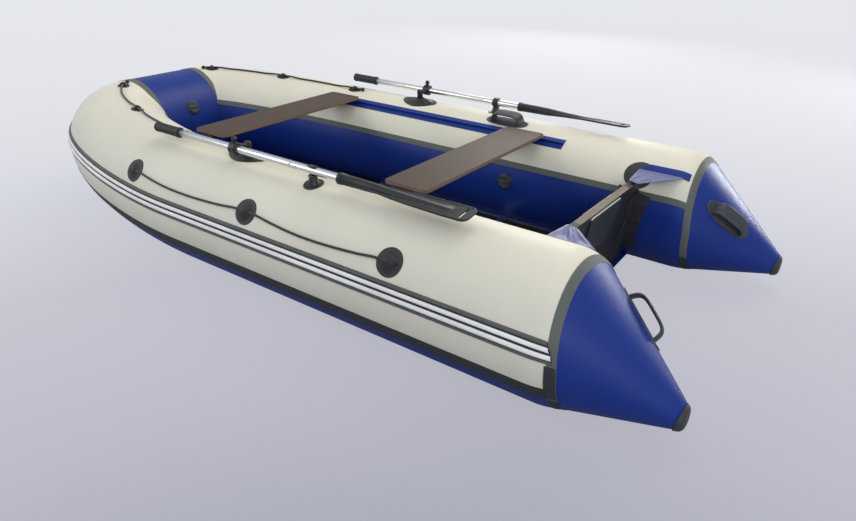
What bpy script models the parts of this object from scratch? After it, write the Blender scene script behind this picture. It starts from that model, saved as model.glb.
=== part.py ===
"""Inflatable rowing boat with a transom, two sliding seats and two stowed oars.

The bow points along +X, port is +Y and the boat stands on Z = 0.
The origin is the bottom centre of the whole boat.
"""

import math

import bmesh
import bpy
from mathutils import Matrix, Vector
from mathutils.geometry import interpolate_bezier

# Sizes are in metres and angles in degrees.
# An angle round a tube starts at its outboard side and rises over the crown.

# Main tubes
OVERALL_LENGTH = 3.007
TUBE_RADIUS = 0.22
TUBE_SPACING = 0.514
STRAIGHT_LENGTH = 1.50
BOW_RISE = 0.042
BOW_SIDE_HANDLE = 0.40
BOW_FRONT_HANDLE = 0.20
BOW_RING_Y = 0.17
TUBE_SIDES = 24
BEND_STEPS = 12
RING_STRAIGHT = 0.012
SEAT_GAP = 0.0003

# Stern cones
CONE_LENGTH = 0.258
CONE_END_RADIUS = 0.044
CONE_END_HEIGHT = 0.096
CONE_END_SPREAD = 0.012
CONE_SHOULDER = 1.0
CONE_STEPS = 5
CAP_LENGTH = 0.024
CAP_DROP = 0.005

# Rubbing strake
STRAKE_LOW_ANGLE = 3.5
STRAKE_HIGH_ANGLE = 20.5
STRAKE_DEPTH = 0.010
STRAKE_RIBS = 3
STRAKE_GROOVE = 0.0035
STRAKE_START = 0.018

# Lifeline patches and rope eyelets on the tubes
PATCH_ARCS = (0.528, 1.115, 1.715)
PATCH_ANGLE = 34.5
PATCH_RADIUS = 0.043
PATCH_HEIGHT = 0.017
PATCH_RIM = 0.003
EYELET_ARCS = (1.690, 2.120, 2.520)
EYELET_ANGLE = 97.0
EYELET_LENGTH = 0.066
EYELET_WIDTH = 0.050
EYELET_HEIGHT = 0.0165
EYELET_RIM = 0.004
EYELET_LUG_WIDTH = 0.030
EYELET_LUG_LENGTH = 0.016
ROPE_RADIUS = 0.004
ROPE_CLEARANCE = 0.0010
ROPE_LIFT = 0.0083
ROPE_STEP = 0.024
KNOT_RADIUS = 0.0085
KNOT_LENGTH = 0.018
LIE_GAP = 0.0006

# Air valves
VALVE_ARC = 0.732
VALVE_ANGLE = 173.0
BOW_VALVE_ANGLE = 156.0
VALVE_RADIUS = 0.034
VALVE_HEIGHT = 0.004
VALVE_NECK_RADIUS = 0.018
VALVE_NECK_DEPTH = 0.012
VALVE_CAP_RADIUS = 0.026
VALVE_CAP_HEIGHT = 0.006
VALVE_GRIP_HEIGHT = 0.007

# Tow ring on the bow
TOW_ANGLE = -26.0
TOW_WIRE_RADIUS = 0.003
TOW_RING_WIDTH = 0.056
TOW_RING_DROP = 0.040

# Bottom and keel
SKIN_ANGLE = 240.0
SKIN_THICKNESS = 0.003
SKIN_DROP = 0.024
SKIN_LAP = 0.014
SKIN_STERN = 0.235
KEEL_LIFT = 0.0006
KEEL_START = 0.31
KEEL_END = 1.95
KEEL_STEPS = 6

# Floor
FLOOR_TOP = 0.070
PANEL_THICKNESS = 0.009
FLOOR_START = 0.276
FLOOR_END = 2.05
FLOOR_CLEARANCE = 0.003
JOINER_AFT = 0.7475
JOINER_FORE = 1.2125
JOINER_WIDTH = 0.030
JOINER_WALL = 0.0018
STRINGER_START = 0.290
STRINGER_END = 1.42
STRINGER_GAP = 0.001
STRINGER_WIDTH = 0.020
STRINGER_WALL = 0.0020

# Transom
TRANSOM_X = 0.205
TRANSOM_RAKE = 9.5
TRANSOM_TOP = 0.375
TRANSOM_THICKNESS = 0.025
TRANSOM_TOP_HALF_WIDTH = 0.25
TRANSOM_SHOULDER_DROP = 0.050
TRANSOM_SHOULDER_Y = 0.335
TRANSOM_REACH = 0.42
TRANSOM_CHINE_Y = 0.385
TRANSOM_CHINE_HEIGHT = 0.085
TRANSOM_FOOT_Y = 0.352
TRANSOM_FOOT_GAP = 0.003
PAD_WIDTH = 0.24
PAD_HEIGHT = 0.15
PAD_THICKNESS = 0.006
PAD_DROP = 0.008
HOLDER_INSIDE = 0.258
HOLDER_WALL = 0.004
HOLDER_LOW = 0.088
HOLDER_RISE = 0.105
HOLDER_FLANGE = 0.045
HOLDER_EDGE = 0.0015
GUSSET_THICKNESS = 0.005
GUSSET_LIFT = 0.0032
GUSSET_FORE_ARC = 0.205
GUSSET_AFT_ARC = 0.050
GUSSET_ANGLE = 129.0
GUSSET_SINK = 0.010
GUSSET_TAIL = 0.010
GUSSET_INSIDE_Y = 0.240
GUSSET_TONGUE_WIDTH = 0.032
GUSSET_PATCH_ARC = 0.220
GUSSET_PATCH_ANGLE = 136.5
GUSSET_PATCH_RADIUS = 0.054
GUSSET_PATCH_THICKNESS = 0.0028
DRAIN_Y = 0.20
DRAIN_HEIGHT = 0.10
DRAIN_RADIUS = 0.030
DRAIN_NECK_RADIUS = 0.0115
DRAIN_BORE_RADIUS = 0.0075

# Seats and their rails
RAIL_START = 0.545
RAIL_REACH = 0.27
RAIL_ANGLE = 121.0
RAIL_WIDTH = 0.050
RAIL_FLANGE = 0.0025
RAIL_BEAD_RADIUS = 0.0045
RAIL_BEAD_LIFT = 0.0075
RAIL_WEB = 0.005
SEAT_COVER = 0.0127
SEAT_WIDTH = 0.170
SEAT_THICKNESS = 0.012
SEAT_CORNER = 0.018
FORE_SEAT_REACH = 0.16
AFT_SEAT_BACK = 0.79
SHOE_LENGTH = 0.060
SHOE_WALL = 0.0035
SHOE_PLAY = 0.0065
SHOE_DEPTH = 0.024
SEAT_LIFT = 0.0072

# Oars and oarlocks
OAR_Y = 0.555
OAR_LIFT = 0.040
OAR_RADIUS = 0.0125
OAR_GRIP_END = 1.742
GRIP_LENGTH = 0.135
GRIP_RADIUS = 0.0175
GRIP_OVERLAP = 0.09
BLADE_NECK_X = 0.833
BLADE_TIP_X = 0.353
BLADE_WIDTH = 0.076
BLADE_THICKNESS = 0.007
BLADE_TILT = 8.0
BLADE_SOCKET_RADIUS = 0.0172
BLADE_SOCKET_LENGTH = 0.13
BLADE_SOCKET_DEPTH = 0.08
OARLOCK_X = 1.31
OARLOCK_PIN_Y = 0.500
OARLOCK_RING_RADIUS = 0.0220
OARLOCK_RING_WIDTH = 0.028
OARLOCK_ARM_HEIGHT = 0.016
OARLOCK_ARM_WIDTH = 0.020
OARLOCK_PIN_RADIUS = 0.007
OARLOCK_PIN_DEPTH = 0.0125
OARLOCK_BASE_LENGTH = 0.176
OARLOCK_BASE_WIDTH = 0.112
OARLOCK_BASE_HEIGHT = 0.006
OARLOCK_BOSS_RADIUS = 0.020
OARLOCK_BOSS_HEIGHT = 0.0155
RUNNING_GAP = 0.0005
KNOB_RADIUS = 0.010
KNOB_STEM_RADIUS = 0.004
KNOB_STEM_DEPTH = 0.005
CLIP_ARC = 0.945
CLIP_WIDTH = 0.024
CLIP_WALL = 0.0045
CLIP_PATCH_RADIUS = 0.033
CLIP_PATCH_HEIGHT = 0.006
CLIP_JAW = 0.009
BUTTON_X = 1.04
BUTTON_RADIUS = 0.0045
BUTTON_STAND = 0.003
BUTTON_DEPTH = 0.006
BUTTON_ANGLE = 40.0

# Carrying handles
HANDLE_LENGTH = 0.150
HANDLE_HEIGHT = 0.042
HANDLE_WIDTH = 0.040
HANDLE_BAR = 0.010
HANDLE_PAD_LENGTH = 0.190
HANDLE_PAD_WIDTH = 0.066
HANDLE_PAD_HEIGHT = 0.004
LIFT_HANDLE_ARC = 0.835
LIFT_HANDLE_ANGLE = 103.0
CONE_HANDLE_X = 0.108
CONE_HANDLE_ANGLE = 138.0

# Frame: distances called x below are measured forward from the cone seam
SEAM_X = -OVERALL_LENGTH / 2 + CONE_LENGTH + CAP_LENGTH
BOW_LINE_X = OVERALL_LENGTH / 2 - STRAKE_DEPTH - TUBE_RADIUS
OAR_HEIGHT = 2 * TUBE_RADIUS + OAR_LIFT
HOLDER_TOP = TUBE_RADIUS + HOLDER_RISE
STRINGER_DEPTH = TUBE_RADIUS - FLOOR_TOP - SEAT_GAP - STRINGER_WALL
STRINGER_OUTSIDE = TUBE_SPACING - math.sqrt(TUBE_RADIUS ** 2 - STRINGER_DEPTH ** 2) - STRINGER_GAP
LINE_SAMPLES = 240

COLOURS = {
    "cream_fabric": ((0.62, 0.60, 0.53), 0.55, 0.0),
    "blue_fabric": ((0.02, 0.05, 0.36), 0.5, 0.0),
    "grey_rubber": ((0.10, 0.11, 0.10), 0.6, 0.0),
    "black_plastic": ((0.012, 0.012, 0.013), 0.45, 0.0),
    "seat_plywood": ((0.16, 0.11, 0.085), 0.5, 0.0),
    "black_plywood": ((0.015, 0.015, 0.016), 0.6, 0.0),
    "aluminium": ((0.75, 0.76, 0.77), 0.3, 1.0),
    "pad_plastic": ((0.45, 0.46, 0.44), 0.5, 0.0),
    "black_rope": ((0.015, 0.015, 0.015), 0.8, 0.0),
    "steel": ((0.6, 0.6, 0.62), 0.25, 1.0),
}


def clear_scene():
    for item in list(bpy.data.objects):
        bpy.data.objects.remove(item, do_unlink=True)


def make_collection(name):
    collection = bpy.data.collections.new(name)
    bpy.context.scene.collection.children.link(collection)
    return collection


def material(name):
    """Principled material of one of the boat's finishes."""
    if name in bpy.data.materials:
        return bpy.data.materials[name]
    colour, roughness, metallic = COLOURS[name]
    made = bpy.data.materials.new(name)
    made.use_nodes = True
    shader = made.node_tree.nodes["Principled BSDF"]
    shader.inputs["Base Color"].default_value = (*colour, 1.0)
    shader.inputs["Roughness"].default_value = roughness
    shader.inputs["Metallic"].default_value = metallic
    made.diffuse_color = (*colour, 1.0)
    return made


# Centre line of the port half of the tubes

def bow_bend():
    """Fine curve of the centre line from the straight tube to the bow's ring."""
    top = TUBE_RADIUS + BOW_RISE
    start = Vector((SEAM_X + STRAIGHT_LENGTH, TUBE_SPACING, TUBE_RADIUS))
    ring = Vector((BOW_LINE_X, BOW_RING_Y + RING_STRAIGHT, top))
    side_handle = start + Vector((BOW_SIDE_HANDLE, 0, 0))
    front_handle = ring + Vector((0, BOW_FRONT_HANDLE, 0))
    return interpolate_bezier(start, side_handle, front_handle, ring, LINE_SAMPLES)


def running_lengths(points):
    lengths = [0.0]
    for a, b in zip(points, points[1:]):
        lengths.append(lengths[-1] + (b - a).length)
    return lengths


def point_along(points, lengths, distance):
    """Point at a distance along a line of points."""
    index = 1
    while index < len(points) - 1 and distance > lengths[index]:
        index += 1
    share = (distance - lengths[index - 1]) / (lengths[index] - lengths[index - 1])
    return points[index - 1].lerp(points[index], share)


def tube_rings():
    """Places of the port tube's rings, as lengths from the seam, points and axes."""
    bend = bow_bend()
    lengths = running_lengths(bend)
    bend_length = lengths[-1]
    steps = [bend_length * step / BEND_STEPS for step in range(BEND_STEPS + 1)]
    seam = Vector((SEAM_X + SEAT_GAP / 2, TUBE_SPACING, TUBE_RADIUS))
    points = [seam, seam + Vector((STRAIGHT_LENGTH / 2, 0, 0))]
    points += [point_along(bend, lengths, distance) for distance in steps]
    arcs = [SEAT_GAP / 2, STRAIGHT_LENGTH / 2 + SEAT_GAP / 2]
    arcs += [STRAIGHT_LENGTH + distance for distance in steps]
    last = arcs[-1] + RING_STRAIGHT
    middle = Vector((BOW_LINE_X, 0, TUBE_RADIUS + BOW_RISE))
    points.append(middle)
    arcs.append(last + BOW_RING_Y)
    rings = []
    for index, point in enumerate(points):
        before = points[max(index - 1, 0)]
        after = points[min(index + 1, len(points) - 1)]
        forward = Vector((0, 0, 0))
        if index > 0:
            forward += (point - before).normalized()
        if index < len(points) - 1:
            forward += (after - point).normalized()
        rings.append((arcs[index], point, forward.normalized()))
    return rings


def across(forward):
    """Outward and upward directions square to a forward direction."""
    outward = Vector((0, 0, 1)).cross(forward).normalized()
    return outward, forward.cross(outward)


def on_tube(arc, angle, lift=0.0):
    """Point on the port tube, or lifted off it along its normal."""
    index = 1
    while index < len(RINGS) - 1 and arc > RINGS[index][0]:
        index += 1
    turn = math.radians(angle)
    ends = []
    for _, point, forward in RINGS[index - 1:index + 1]:
        outward, upward = across(forward)
        normal = outward * math.cos(turn) + upward * math.sin(turn)
        ends.append(point + normal * (TUBE_RADIUS + lift))
    start = RINGS[index - 1][0]
    return ends[0].lerp(ends[1], (arc - start) / (RINGS[index][0] - start))


def line_point(arc):
    return on_tube(arc, 0, -TUBE_RADIUS)


def tube_matrix(arc, angle):
    """Frame on the tube's surface: X forward, Z along the outward normal."""
    step = 0.012
    low = min(max(arc - step, 0), MIDDLE_ARC - step * 2)
    forward = (on_tube(low + step * 2, angle) - on_tube(low, angle)).normalized()
    normal = (on_tube(arc, angle) - line_point(arc)).normalized()
    return frame_matrix(on_tube(arc, angle), forward, normal)


def frame_matrix(origin, forward, normal):
    """Matrix with its Z along the normal and its X as near forward as it can be."""
    side = normal.cross(forward).normalized()
    along = side.cross(normal)
    turned_frame = Matrix((along, side, normal)).transposed().to_4x4()
    return Matrix.Translation(origin) @ turned_frame


RINGS = tube_rings()
MIDDLE_ARC = RINGS[-1][0]
RING_ARC = MIDDLE_ARC - BOW_RING_Y


# Mesh tools

def mesh_object(name, mesh, collection):
    made = bpy.data.objects.new(name, mesh)
    collection.objects.link(made)
    return made


def evaluated_mesh(item):
    """Mesh of an object with its modifiers or its curve bevel, welded."""
    graph = bpy.context.evaluated_depsgraph_get()
    mesh = bpy.data.meshes.new_from_object(item.evaluated_get(graph))
    tidy = bmesh.new()
    tidy.from_mesh(mesh)
    bmesh.ops.remove_doubles(tidy, verts=tidy.verts, dist=0.000002)
    bmesh.ops.recalc_face_normals(tidy, faces=tidy.faces)
    tidy.to_mesh(mesh)
    tidy.free()
    return mesh


def settle(item):
    """Turn a curve or an object with modifiers into a plain mesh object in place."""
    mesh = evaluated_mesh(item)
    made = mesh_object(item.name + "_mesh", mesh, CUTTERS)
    made.matrix_world = item.matrix_world
    bpy.data.objects.remove(item, do_unlink=True)
    return made


def bake(item, matrix=Matrix.Identity(4)):
    """Move an object's mesh by its own place and then by a matrix."""
    item.data.transform(matrix @ item.matrix_world)
    item.matrix_world = Matrix.Identity(4)
    return item


def boolean(body, tool, operation, keep=False):
    """Cut a tool from a body, join it on, or keep what they share."""
    modifier = body.modifiers.new(operation, "BOOLEAN")
    modifier.operation = operation
    modifier.object = tool
    bpy.context.view_layer.update()
    mesh = evaluated_mesh(body)
    body.modifiers.clear()
    body.data = mesh
    if not keep:
        bpy.data.objects.remove(tool, do_unlink=True)
    return body


def block(low, high, bevel=0.0, segments=1):
    """Box between two corners, with its edges rounded if a bevel is given."""
    bpy.ops.mesh.primitive_cube_add(size=1.0)
    made = bpy.context.object
    size = Vector(high) - Vector(low)
    made.data.transform(Matrix.Diagonal((*size, 1.0)))
    made.data.transform(Matrix.Translation((Vector(high) + Vector(low)) / 2))
    if bevel:
        modifier = made.modifiers.new("Bevel", "BEVEL")
        modifier.width = bevel
        modifier.segments = segments
    return settle(made)


def cylinder(radius, low, high, sides=20):
    """Upright cylinder between two heights."""
    bpy.ops.mesh.primitive_cylinder_add(
        vertices=sides, radius=radius, depth=high - low, location=(0, 0, (high + low) / 2)
    )
    return bake(settle(bpy.context.object))


def turned(profile, sides=24):
    """Turned shape from a profile of radius and height, from its top to its bottom."""
    mesh = bpy.data.meshes.new("profile")
    points = [(radius, 0, height) for radius, height in profile]
    mesh.from_pydata(points, [(i, i + 1) for i in range(len(points) - 1)], [])
    made = mesh_object("turned", mesh, CUTTERS)
    screw = made.modifiers.new("Screw", "SCREW")
    screw.steps = sides
    screw.render_steps = sides
    screw.use_merge_vertices = True
    screw.merge_threshold = 0.00001
    return settle(made)


def slab(outline, thickness, bevel=0.0, segments=1):
    """Flat outline in XY, extruded evenly about Z = 0."""
    curve = bpy.data.curves.new("outline", "CURVE")
    curve.dimensions = "2D"
    curve.fill_mode = "BOTH"
    curve.extrude = thickness / 2
    spline = curve.splines.new("POLY")
    spline.points.add(len(outline) - 1)
    for point, (x, y) in zip(spline.points, outline):
        point.co = (x, y, 0, 1)
    spline.use_cyclic_u = True
    made = settle(mesh_object("slab", curve, CUTTERS))
    if bevel:
        modifier = made.modifiers.new("Bevel", "BEVEL")
        modifier.width = bevel
        modifier.segments = segments
        modifier.angle_limit = math.radians(50)
        made = settle(made)
    return made


def rounded_outline(length, width, corner, steps=4):
    """Rectangle in XY with round corners."""
    outline = []
    for quarter in range(4):
        turn = quarter * math.pi / 2
        x = (length / 2 - corner) * (1 if quarter in (0, 3) else -1)
        y = (width / 2 - corner) * (1 if quarter in (0, 1) else -1)
        for step in range(steps + 1):
            angle = turn + step * math.pi / 2 / steps
            outline.append((x + corner * math.cos(angle), y + corner * math.sin(angle)))
    return outline


def swept(points, radius, sides, radii=None, closed=False, twist="Z_UP"):
    """Round tube along points."""
    curve = bpy.data.curves.new("swept", "CURVE")
    curve.dimensions = "3D"
    curve.twist_mode = twist
    curve.use_fill_caps = True
    curve.bevel_depth = radius
    curve.bevel_resolution = (sides - 4) // 2
    add_spline(curve, points, radii, closed)
    return settle(mesh_object("swept", curve, CUTTERS))


def swept_profile(points, profile):
    """Closed profile of outward and upward distances, swept along points."""
    shape = bpy.data.curves.new("profile", "CURVE")
    shape.dimensions = "2D"
    add_spline(shape, [(-outward, upward, 0) for outward, upward in profile], None, True)
    guide = mesh_object("profile", shape, CUTTERS)
    curve = bpy.data.curves.new("swept", "CURVE")
    curve.dimensions = "3D"
    curve.twist_mode = "Z_UP"
    curve.use_fill_caps = True
    curve.bevel_mode = "OBJECT"
    curve.bevel_object = guide
    add_spline(curve, points, None, False)
    made = settle(mesh_object("swept", curve, CUTTERS))
    bpy.data.objects.remove(guide, do_unlink=True)
    return made


def add_spline(curve, points, radii, closed):
    spline = curve.splines.new("POLY")
    spline.points.add(len(points) - 1)
    for index, point in enumerate(points):
        spline.points[index].co = (*point, 1)
        spline.points[index].radius = radii[index] if radii else 1.0
    spline.use_cyclic_u = closed


def loft(rings):
    """Closed solid through rings of as many points each, with flat ends."""
    mesh = bpy.data.meshes.new("loft")
    build = bmesh.new()
    rows = [[build.verts.new(point) for point in ring] for ring in rings]
    count = len(rows[0])
    for low, high in zip(rows, rows[1:]):
        for i in range(count):
            j = (i + 1) % count
            build.faces.new((low[i], low[j], high[j], high[i]))
    build.faces.new(rows[0])
    build.faces.new(rows[-1])
    bmesh.ops.recalc_face_normals(build, faces=build.faces)
    build.to_mesh(mesh)
    build.free()
    return mesh_object("loft", mesh, CUTTERS)


def wrap_on_tube(item):
    """Bend a flat fitting, made about its seat, down round the tube."""
    for vertex in item.data.vertices:
        side = min(abs(vertex.co.y), TUBE_RADIUS * 0.99)
        vertex.co.z -= TUBE_RADIUS - math.sqrt(TUBE_RADIUS ** 2 - side ** 2)
    return item


def finish(item, name, finish_name, pivot=None):
    """Name a finished solid, give it its material and put its origin on its axis."""
    bake(item)
    place = Vector(pivot) if pivot else Vector((0, 0, 0))
    item.data.transform(Matrix.Translation(-place))
    item.location = place
    item.name = name
    item.data.name = name
    for collection in list(item.users_collection):
        collection.objects.unlink(item)
    BOAT.objects.link(item)
    item.data.materials.clear()
    item.data.materials.append(material(finish_name))
    item.data.shade_smooth()
    item.data.set_sharp_from_angle(angle=math.radians(35))
    return item


def starboard_copy(item):
    """Mirror image of a finished port piece."""
    mesh = item.data.copy()
    mesh.transform(Matrix.Scale(-1, 4, (0, 1, 0)))
    mesh.flip_normals()
    name = item.name.replace("port_", "starboard_")
    made = mesh_object(name, mesh, BOAT)
    mesh.name = name
    made.location = (item.location.x, -item.location.y, item.location.z)
    mesh.set_sharp_from_angle(angle=math.radians(35))
    return made


def pair(item, name, finish_name, pivot=None):
    """Finish a port piece and its starboard twin."""
    port = finish(item, "port_" + name, finish_name, pivot)
    return port, starboard_copy(port)


# Tubes

def side_arcs():
    """Lengths from the seam where the side tube has its rings."""
    return [ring[0] for ring in RINGS[:-1]]


def hull_points(start=None):
    """Centre line of the whole hull, from the port seam round to starboard."""
    port = [ring[1] for ring in RINGS]
    if start is not None:
        port[0] = line_point(start)
    return port + [Vector((p.x, -p.y, p.z)) for p in reversed(port[:-1])]


def hull_solid(lift=0.0):
    return swept(hull_points(), TUBE_RADIUS + lift, TUBE_SIDES)


def side_tube_solid():
    """The hull's port side, cut square at its seam with the bow."""
    seam = BOW_RING_Y + SEAT_GAP / 2
    return boolean(hull_solid(), block((-9, -9, -9), (9, seam, 9)), "DIFFERENCE")


def bow_tube_solid():
    """The hull's cross piece between its two seams."""
    half = BOW_RING_Y - SEAT_GAP / 2
    return boolean(hull_solid(), block((0, -half, -9), (9, half, 9)), "INTERSECT")


def patch_solid(radius, height, rim):
    """Round rubber patch with a domed middle."""
    shoulder = radius * 0.62
    profile = [
        (0, height),
        (shoulder * 0.65, height * 0.92),
        (shoulder * 1.05, rim),
        (radius, rim * 0.6),
        (radius, -0.006),
        (0, -0.006),
    ]
    return wrap_on_tube(turned(profile, 14))


def eyelet_solid():
    """Oval rope eyelet: a low base and an upright lug."""
    base = turned([(0, 1.0), (0.9, 0.8), (1.0, -1.5), (0, -1.5)], 12)
    base.data.transform(Matrix.Diagonal((EYELET_LENGTH / 2, EYELET_WIDTH / 2, EYELET_RIM, 1)))
    round_top = EYELET_LUG_WIDTH / 2
    outline = [(-round_top, -EYELET_RIM), (round_top, -EYELET_RIM)]
    straight = EYELET_HEIGHT * 0.35
    for step in range(6):
        angle = math.pi * step / 5
        rise = straight + (EYELET_HEIGHT - straight) * math.sin(angle)
        outline.append((round_top * math.cos(angle), rise))
    lug = slab(outline, EYELET_LUG_LENGTH)
    lug.data.transform(Matrix(((0, 0, 1, 0), (1, 0, 0, 0), (0, 1, 0, 0), (0, 0, 0, 1))))
    return wrap_on_tube(boolean(base, lug, "UNION"))


def cross_hole(radius, length):
    """Cutter for the way through a patch or an eyelet, along X."""
    made = cylinder(radius, -length / 2, length / 2, 8)
    made.data.transform(Matrix.Rotation(math.radians(90), 4, "Y"))
    made.data.transform(Matrix.Translation((0, 0, ROPE_LIFT)))
    return made


def rope_hole(length):
    return cross_hole(ROPE_RADIUS + ROPE_CLEARANCE, length)


def valve_flange():
    profile = [
        (0, VALVE_HEIGHT),
        (VALVE_RADIUS * 0.9, VALVE_HEIGHT),
        (VALVE_RADIUS, VALVE_HEIGHT * 0.3),
        (VALVE_RADIUS, -VALVE_NECK_DEPTH),
        (0, -VALVE_NECK_DEPTH),
    ]
    return turned(profile, 16)


def add_valve_seat(tube, matrix):
    """Join a valve's flange on the tube and bore its neck."""
    boolean(tube, bake(valve_flange(), matrix), "UNION")
    neck = cylinder(VALVE_NECK_RADIUS, -VALVE_NECK_DEPTH, VALVE_HEIGHT * 2, 14)
    boolean(tube, bake(neck, matrix), "DIFFERENCE")


def make_side_tubes():
    tube = side_tube_solid()
    for arc in PATCH_ARCS:
        matrix = tube_matrix(arc, PATCH_ANGLE)
        patch = patch_solid(PATCH_RADIUS, PATCH_HEIGHT, PATCH_RIM)
        boolean(tube, bake(patch, matrix), "UNION")
        boolean(tube, bake(rope_hole(PATCH_RADIUS * 2.4), matrix), "DIFFERENCE")
    for arc in EYELET_ARCS:
        matrix = tube_matrix(arc, EYELET_ANGLE)
        boolean(tube, bake(eyelet_solid(), matrix), "UNION")
        boolean(tube, bake(rope_hole(EYELET_LUG_LENGTH * 2), matrix), "DIFFERENCE")
    add_valve_seat(tube, tube_matrix(VALVE_ARC, VALVE_ANGLE))
    pair(tube, "side_tube", "cream_fabric")


def make_bow_tube():
    tube = bow_tube_solid()
    add_valve_seat(tube, tube_matrix(MIDDLE_ARC, BOW_VALVE_ANGLE))
    matrix = tow_matrix()
    boolean(tube, bake(eyelet_solid(), matrix), "UNION")
    boolean(tube, bake(cross_hole(TOW_WIRE_RADIUS + RUNNING_GAP, 0.05), matrix), "DIFFERENCE")
    finish(tube, "bow_tube", "blue_fabric")


def tow_matrix():
    """Frame of the tow patch, whose X runs across the bow."""
    return tube_matrix(MIDDLE_ARC, TOW_ANGLE)


def make_tow_ring():
    """Ring with a straight bar through the patch, hanging from it."""
    pivot = tow_matrix() @ Vector((0, 0, ROPE_LIFT))
    half = TOW_RING_WIDTH / 2
    corner = TOW_RING_DROP * 0.35
    path = [Vector((0, y * half, 0)) for y in (-0.7, 0, 0.7)]
    for step in range(1, 3):
        angle = math.pi / 2 * step / 3
        side = half * (0.7 + 0.3 * math.sin(angle))
        path.append(Vector((0, side, -corner * (1 - math.cos(angle)))))
    for step in range(9):
        angle = math.pi * step / 8
        drop = corner + (TOW_RING_DROP - corner) * math.sin(angle)
        path.append(Vector((0, half * math.cos(angle), -drop)))
    for step in range(2, 0, -1):
        angle = math.pi / 2 * step / 3
        side = half * (0.7 + 0.3 * math.sin(angle))
        path.append(Vector((0, -side, -corner * (1 - math.cos(angle)))))
    ring = swept(path, TOW_WIRE_RADIUS, 6, closed=True, twist="MINIMUM")
    ring.data.transform(Matrix.Translation(pivot))
    finish(ring, "bow_tow_ring", "steel", pivot)


def valve_cap():
    """Screw cap: a spigot in the neck, a disc and a grip bar."""
    spigot = VALVE_NECK_RADIUS - RUNNING_GAP
    under = VALVE_HEIGHT + SEAT_GAP
    top = under + VALVE_CAP_HEIGHT
    profile = [
        (0, top),
        (VALVE_CAP_RADIUS * 0.9, top),
        (VALVE_CAP_RADIUS, top - 0.0015),
        (VALVE_CAP_RADIUS, under),
        (spigot, under),
        (spigot, -VALVE_NECK_DEPTH + 0.002),
        (0, -VALVE_NECK_DEPTH + 0.002),
    ]
    cap = turned(profile, 14)
    half = VALVE_CAP_RADIUS * 0.75
    grip = block((-half, -0.004, top - 0.001), (half, 0.004, top + VALVE_GRIP_HEIGHT))
    return boolean(cap, grip, "UNION")


def make_valve_caps():
    matrix = tube_matrix(VALVE_ARC, VALVE_ANGLE)
    pair(bake(valve_cap(), matrix), "valve_cap", "black_plastic", matrix.translation)
    matrix = tube_matrix(MIDDLE_ARC, BOW_VALVE_ANGLE)
    finish(bake(valve_cap(), matrix), "bow_valve_cap", "black_plastic", matrix.translation)


# Stern cones

def cone_ring(share):
    """Centre height, outboard shift and radius at a share of the cone's length."""
    end_bottom = CONE_END_HEIGHT - CONE_END_RADIUS
    end_top = CONE_END_HEIGHT + CONE_END_RADIUS
    bottom = end_bottom * share
    top = 2 * TUBE_RADIUS - (2 * TUBE_RADIUS - end_top) * share ** CONE_SHOULDER
    return (top + bottom) / 2, CONE_END_SPREAD * share, (top - bottom) / 2


def cone_point(share, angle, lift=0.0):
    height, shift, radius = cone_ring(share)
    turn = math.radians(angle)
    y = TUBE_SPACING + shift + (radius + lift) * math.cos(turn)
    z = height + (radius + lift) * math.sin(turn)
    return Vector((SEAM_X - CONE_LENGTH * share, y, z))


def circle_ring(share, lift=0.0, shift_x=0.0):
    ring = []
    for side in range(TUBE_SIDES):
        point = cone_point(share, side * 360 / TUBE_SIDES, lift)
        ring.append(point + Vector((shift_x, 0, 0)))
    return ring


def cone_solid(lift=0.0):
    shares = [step / CONE_STEPS for step in range(CONE_STEPS + 1)]
    rings = [circle_ring(share, lift) for share in shares]
    rings[0] = circle_ring(0, lift, -SEAT_GAP / 2)
    return loft(rings)


def make_cones():
    pair(cone_solid(), "cone", "blue_fabric")
    start = SEAM_X - CONE_LENGTH - SEAT_GAP
    rings = []
    for step in range(4):
        share = step / 3
        radius = CONE_END_RADIUS * math.sqrt(1 - (0.82 * share) ** 2)
        ring = []
        for side in range(TUBE_SIDES):
            turn = math.radians(side * 360 / TUBE_SIDES)
            y = TUBE_SPACING + CONE_END_SPREAD + radius * math.cos(turn)
            z = CONE_END_HEIGHT - CAP_DROP * share + radius * math.sin(turn)
            ring.append((start - (CAP_LENGTH - SEAT_GAP) * share, y, z))
        rings.append(ring)
    pair(loft(rings), "cone_cap", "grey_rubber")


# Strake

def tube_facet_radius(angle, gap):
    """Distance from the centre line to the faceted tube's skin."""
    facet = 360 / TUBE_SIDES
    off = math.radians(angle % facet - facet / 2)
    return TUBE_RADIUS * math.cos(math.radians(facet / 2)) / math.cos(off) + gap


def strake_profile():
    """Ribbed strip: its back follows the tube's facets, its face has grooves."""
    facet = 360 / TUBE_SIDES
    corners = [step * facet for step in range(TUBE_SIDES)]
    back = [STRAKE_LOW_ANGLE]
    back += [a for a in corners if STRAKE_LOW_ANGLE < a < STRAKE_HIGH_ANGLE]
    back += [STRAKE_HIGH_ANGLE]
    polar = [(tube_facet_radius(angle, SEAT_GAP), angle) for angle in reversed(back)]
    span = STRAKE_HIGH_ANGLE - STRAKE_LOW_ANGLE
    band = span / STRAKE_RIBS
    face = TUBE_RADIUS + STRAKE_DEPTH
    for rib in range(STRAKE_RIBS):
        low = STRAKE_LOW_ANGLE + band * rib
        polar.append((face - STRAKE_GROOVE, low))
        polar.append((face, low + band * 0.2))
        polar.append((face, low + band * 0.8))
    polar.append((face - STRAKE_GROOVE, STRAKE_HIGH_ANGLE))
    outline = []
    for radius, angle in polar:
        turn = math.radians(angle)
        outline.append((radius * math.cos(turn), radius * math.sin(turn)))
    return outline


def make_strake():
    strake = swept_profile(hull_points(STRAKE_START), strake_profile())
    finish(strake, "rubbing_strake", "grey_rubber")


# Lifelines

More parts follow.
